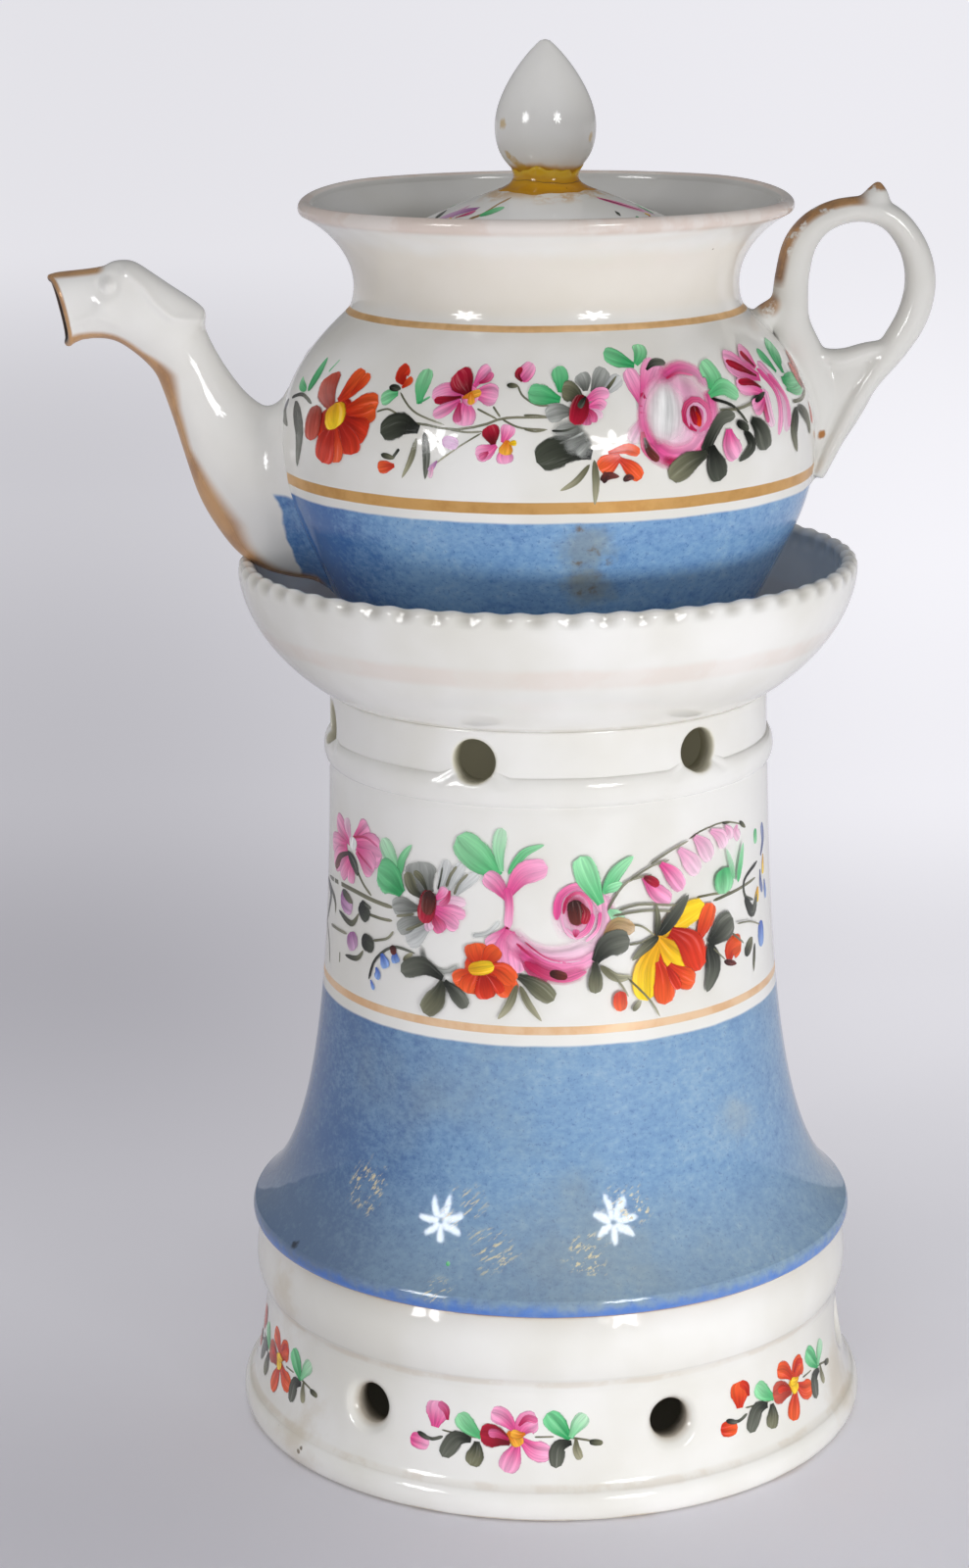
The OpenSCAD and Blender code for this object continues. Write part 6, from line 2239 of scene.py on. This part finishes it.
# %% Ride on the bodies
SEATS = [
    ("base", "porcelain", [(base, "base_plinth")]),
    ("pedestal", "porcelain", [(pedestal, "pedestal_column"), (bowl, "pedestal_bowl")]),
    ("teapot", "porcelain", [(pot, "teapot_body"), (spout, "teapot_spout"), (handle, "teapot_handle")]),
    ("lid", "porcelain", [(lid, "lid_cover"), (finial, "lid_finial")]),
    ("lid", "cement", [(cement, "finial_cement")]),
    ("lamp", "porcelain", [(oil_cup, "lamp_cup"), (cup_ring, "lamp_handle")]),
    ("float", "cork", [(cork, "float_cork")]),
    ("float", "tin", [(tin_plate, "float_plate")]),
    ("float", "cotton", [(wick, "float_wick")]),
]
for body, finish, pieces in SEATS:
    for piece, node in pieces:
        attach(piece, body)
        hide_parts(node)
for body, piece in PAINTINGS.items():
    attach(piece, body)
print("seated", sum(len(pieces) for _, _, pieces in SEATS), "pieces and", len(PAINTINGS), "paintings")

# %% [markdown]
# ## Floor and light
#
# The piece stands on pale paper. The paper glows with painted light that grows towards the back and the
# right, with a painted shadow on the left near the piece and a painted glow that the piece throws onto the
# paper just beside it, and its colour is lighter on the right as painted light. Two photographer's
# umbrellas stand far off to the right and the left, and the panels between their ribs show as stars in the
# glaze. These panels are only mirrored; the light itself comes from lamps that aren't mirrored: a box on
# either side, one overhead, two low ones for what the table throws back, which spare the paper itself, and
# a spark for what finds its way into the pedestal. The world is a dim pale sky. The glaze mirrors the sky
# and the paper dimmer than they are, so that they don't veil the colours, and the sky is brighter where it
# is seen itself, so that it meets the paper without a line.

# %% Lay the floor
# Painted shadow and painted light: the paper's glow by the distance, on the shaded left and on the lit right.
PAINTED_SHADOW_SIDE = [(-0.06, 0.06), (0.056, 0.155), (0.254, 0.06), (0.46, 0.16), (1.04, 0.27), (2.3, 0.475)]
PAINTED_LIT_SIDE = [(-0.06, 0.13), (0.05, 0.2), (0.25, 0.34), (0.45, 0.49), (0.86, 0.55), (2.3, 0.5)]
FLOOR_REACH = (-0.1, 2.3)
FLOOR_SIZE = 40
COOL = 0.98
SIDE_SPREAD = 0.13
PAPER_MIRROR_DIM = 0.5


def levels(nodes, away, stops):
    """Brightness by the distance from the object, through a list of (metres, level)."""
    share = nodes.put("MapRange", {"Value": away, "From Min": FLOOR_REACH[0], "From Max": FLOOR_REACH[1]})
    made = nodes.put("ValToRGB", {"Fac": share})
    ramp = made.socket.node.color_ramp
    ramp.interpolation = "EASE"
    marks = ramp.elements
    while len(marks) < len(stops):
        marks.new(0.5)
    for mark, (metres, level) in zip(marks, stops):
        mark.position = (metres - FLOOR_REACH[0]) / (FLOOR_REACH[1] - FLOOR_REACH[0])
        mark.color = (COOL * level, COOL * level, level, 1)
    return made


start_clean()
bpy.ops.mesh.primitive_grid_add(x_subdivisions=8, y_subdivisions=8, size=FLOOR_SIZE)
floor = named("paper")
paper = bpy.data.materials.new("pale_paper")
paper.use_nodes = True
nodes = Nodes(paper.node_tree)
shader = nodes.tree.nodes["Principled BSDF"].inputs
spot = nodes.put("SeparateXYZ", {"Vector": nodes.put("TexCoord")["Object"]})
across, away = spot["X"], spot["Y"]
reach = nodes.calc("MAXIMUM", away + 0.7, 0.1)
side = (across / reach).step(-SIDE_SPREAD, SIDE_SPREAD)
glow = nodes.mix(side, levels(nodes, away, PAINTED_SHADOW_SIDE), levels(nodes, away, PAINTED_LIT_SIDE))
mirrored = nodes.put("LightPath")["Is Glossy Ray"]
# Painted light: the paper's own colour is lighter on the right.
for key, value in (("Base Color", nodes.mix(side, tint("d9d7dd"), tint("e6e4ea"))), ("Roughness", 0.7),
                   ("Specular IOR Level", 0.0), ("Emission Color", glow),
                   ("Emission Strength", 1.0 - mirrored * PAPER_MIRROR_DIM)):
    nodes.feed(shader[key], value)
floor.data.materials.append(paper)
spare_paper = bpy.data.collections.new("spare_paper")
spare_paper.objects.link(floor)
spare_paper.collection_objects[0].light_linking.link_state = "EXCLUDE"
print("paper", FLOOR_SIZE, "m wide,", len(nodes.tree.nodes), "nodes")

# %% Set up the lights: name, azimuth and elevation in degrees, distance, size, power
LAMPS = [
    ("right_box", 31, 13, 1.25, 0.16, 0.86),
    ("left_box", -45, 13, 1.25, 0.14, 0.97),
    ("overhead", -6, 74, 1.3, 0.3, 1.25),
    ("table_bounce", 30, -14, 0.36, 0.12, 0.73),
    ("left_bounce", -62, -2, 0.4, 0.2, 0.14),
    ("inside_spark", 0, 0, 0.0, 0.03, 0.012),
]
UMBRELLAS = [("right_umbrella", 27, 18.6), ("left_umbrella", -49, 17.8)]
UMBRELLA_AWAY = 3.0
PANELS = 7
PANEL_SIZE = (0.46, 0.16)
PANEL_OUT = 0.29
PANEL_POWER = 3.4
MIDDLE = Vector((0, 0, 0.12))


def lamp_at(name, kind, azimuth, elevation, away, turn=0, out=0):
    """A lamp so many metres from the middle, facing it, turned about that line and moved out from it."""
    a, e = math.radians(azimuth), math.radians(elevation)
    direction = Vector((math.sin(a) * math.cos(e), -math.cos(a) * math.cos(e), math.sin(e)))
    facing = direction.to_track_quat("Z", "Y").to_matrix() @ Matrix.Rotation(math.radians(turn), 3, "Z")
    bpy.ops.object.light_add(type=kind, location=MIDDLE + direction * away + facing @ Vector((out, 0, 0)))
    lamp = named(name)
    lamp.rotation_euler = facing.to_euler()
    lamp.visible_camera = False
    return lamp


for name, azimuth, elevation, away_m, size, power in LAMPS:
    lamp = lamp_at(name, "AREA" if away_m else "POINT", azimuth, elevation, away_m)
    if away_m:
        lamp.data.size = size
    else:
        lamp.data.shadow_soft_size = size
    lamp.data.energy = power
    lamp.visible_glossy = False
    if elevation < 0:
        lamp.light_linking.receiver_collection = spare_paper
for name, azimuth, elevation in UMBRELLAS:
    for k in range(PANELS):
        lamp = lamp_at(f"{name}_{k}", "AREA", azimuth, elevation, UMBRELLA_AWAY, 90 + k * 360 / PANELS,
                       PANEL_OUT)
        lamp.data.shape = "ELLIPSE"
        lamp.data.size, lamp.data.size_y = PANEL_SIZE
        lamp.data.energy = PANEL_POWER
        lamp.visible_diffuse = False
print("lights", len(LAMPS) + PANELS * len(UMBRELLAS))

# %% Hang the sky
SKY_POWER = 0.5
HORIZON_DIM, TOP_DIM, TOP_FROM = 0.28, 0.42, 0.45
SEEN_MORE = 0.37
world = bpy.data.worlds.new("pale_sky")
bpy.context.scene.world = world
world.use_nodes = True
nodes = Nodes(world.node_tree)
sky = nodes.tree.nodes["Background"].inputs
ray = nodes.put("LightPath")
upward = nodes.put("SeparateXYZ", {"Vector": nodes.put("TexCoord")["Generated"]})["Z"]
dimmed = upward.step(0.0, TOP_FROM) * (TOP_DIM - HORIZON_DIM) + HORIZON_DIM
nodes.feed(sky["Color"], tint("f2f2f6"))
nodes.feed(sky["Strength"], SKY_POWER - ray["Is Glossy Ray"] * dimmed + ray["Is Camera Ray"] * SEEN_MORE)
bpy.context.scene.view_settings.view_transform = "Standard"
print("view", bpy.context.scene.view_settings.view_transform)
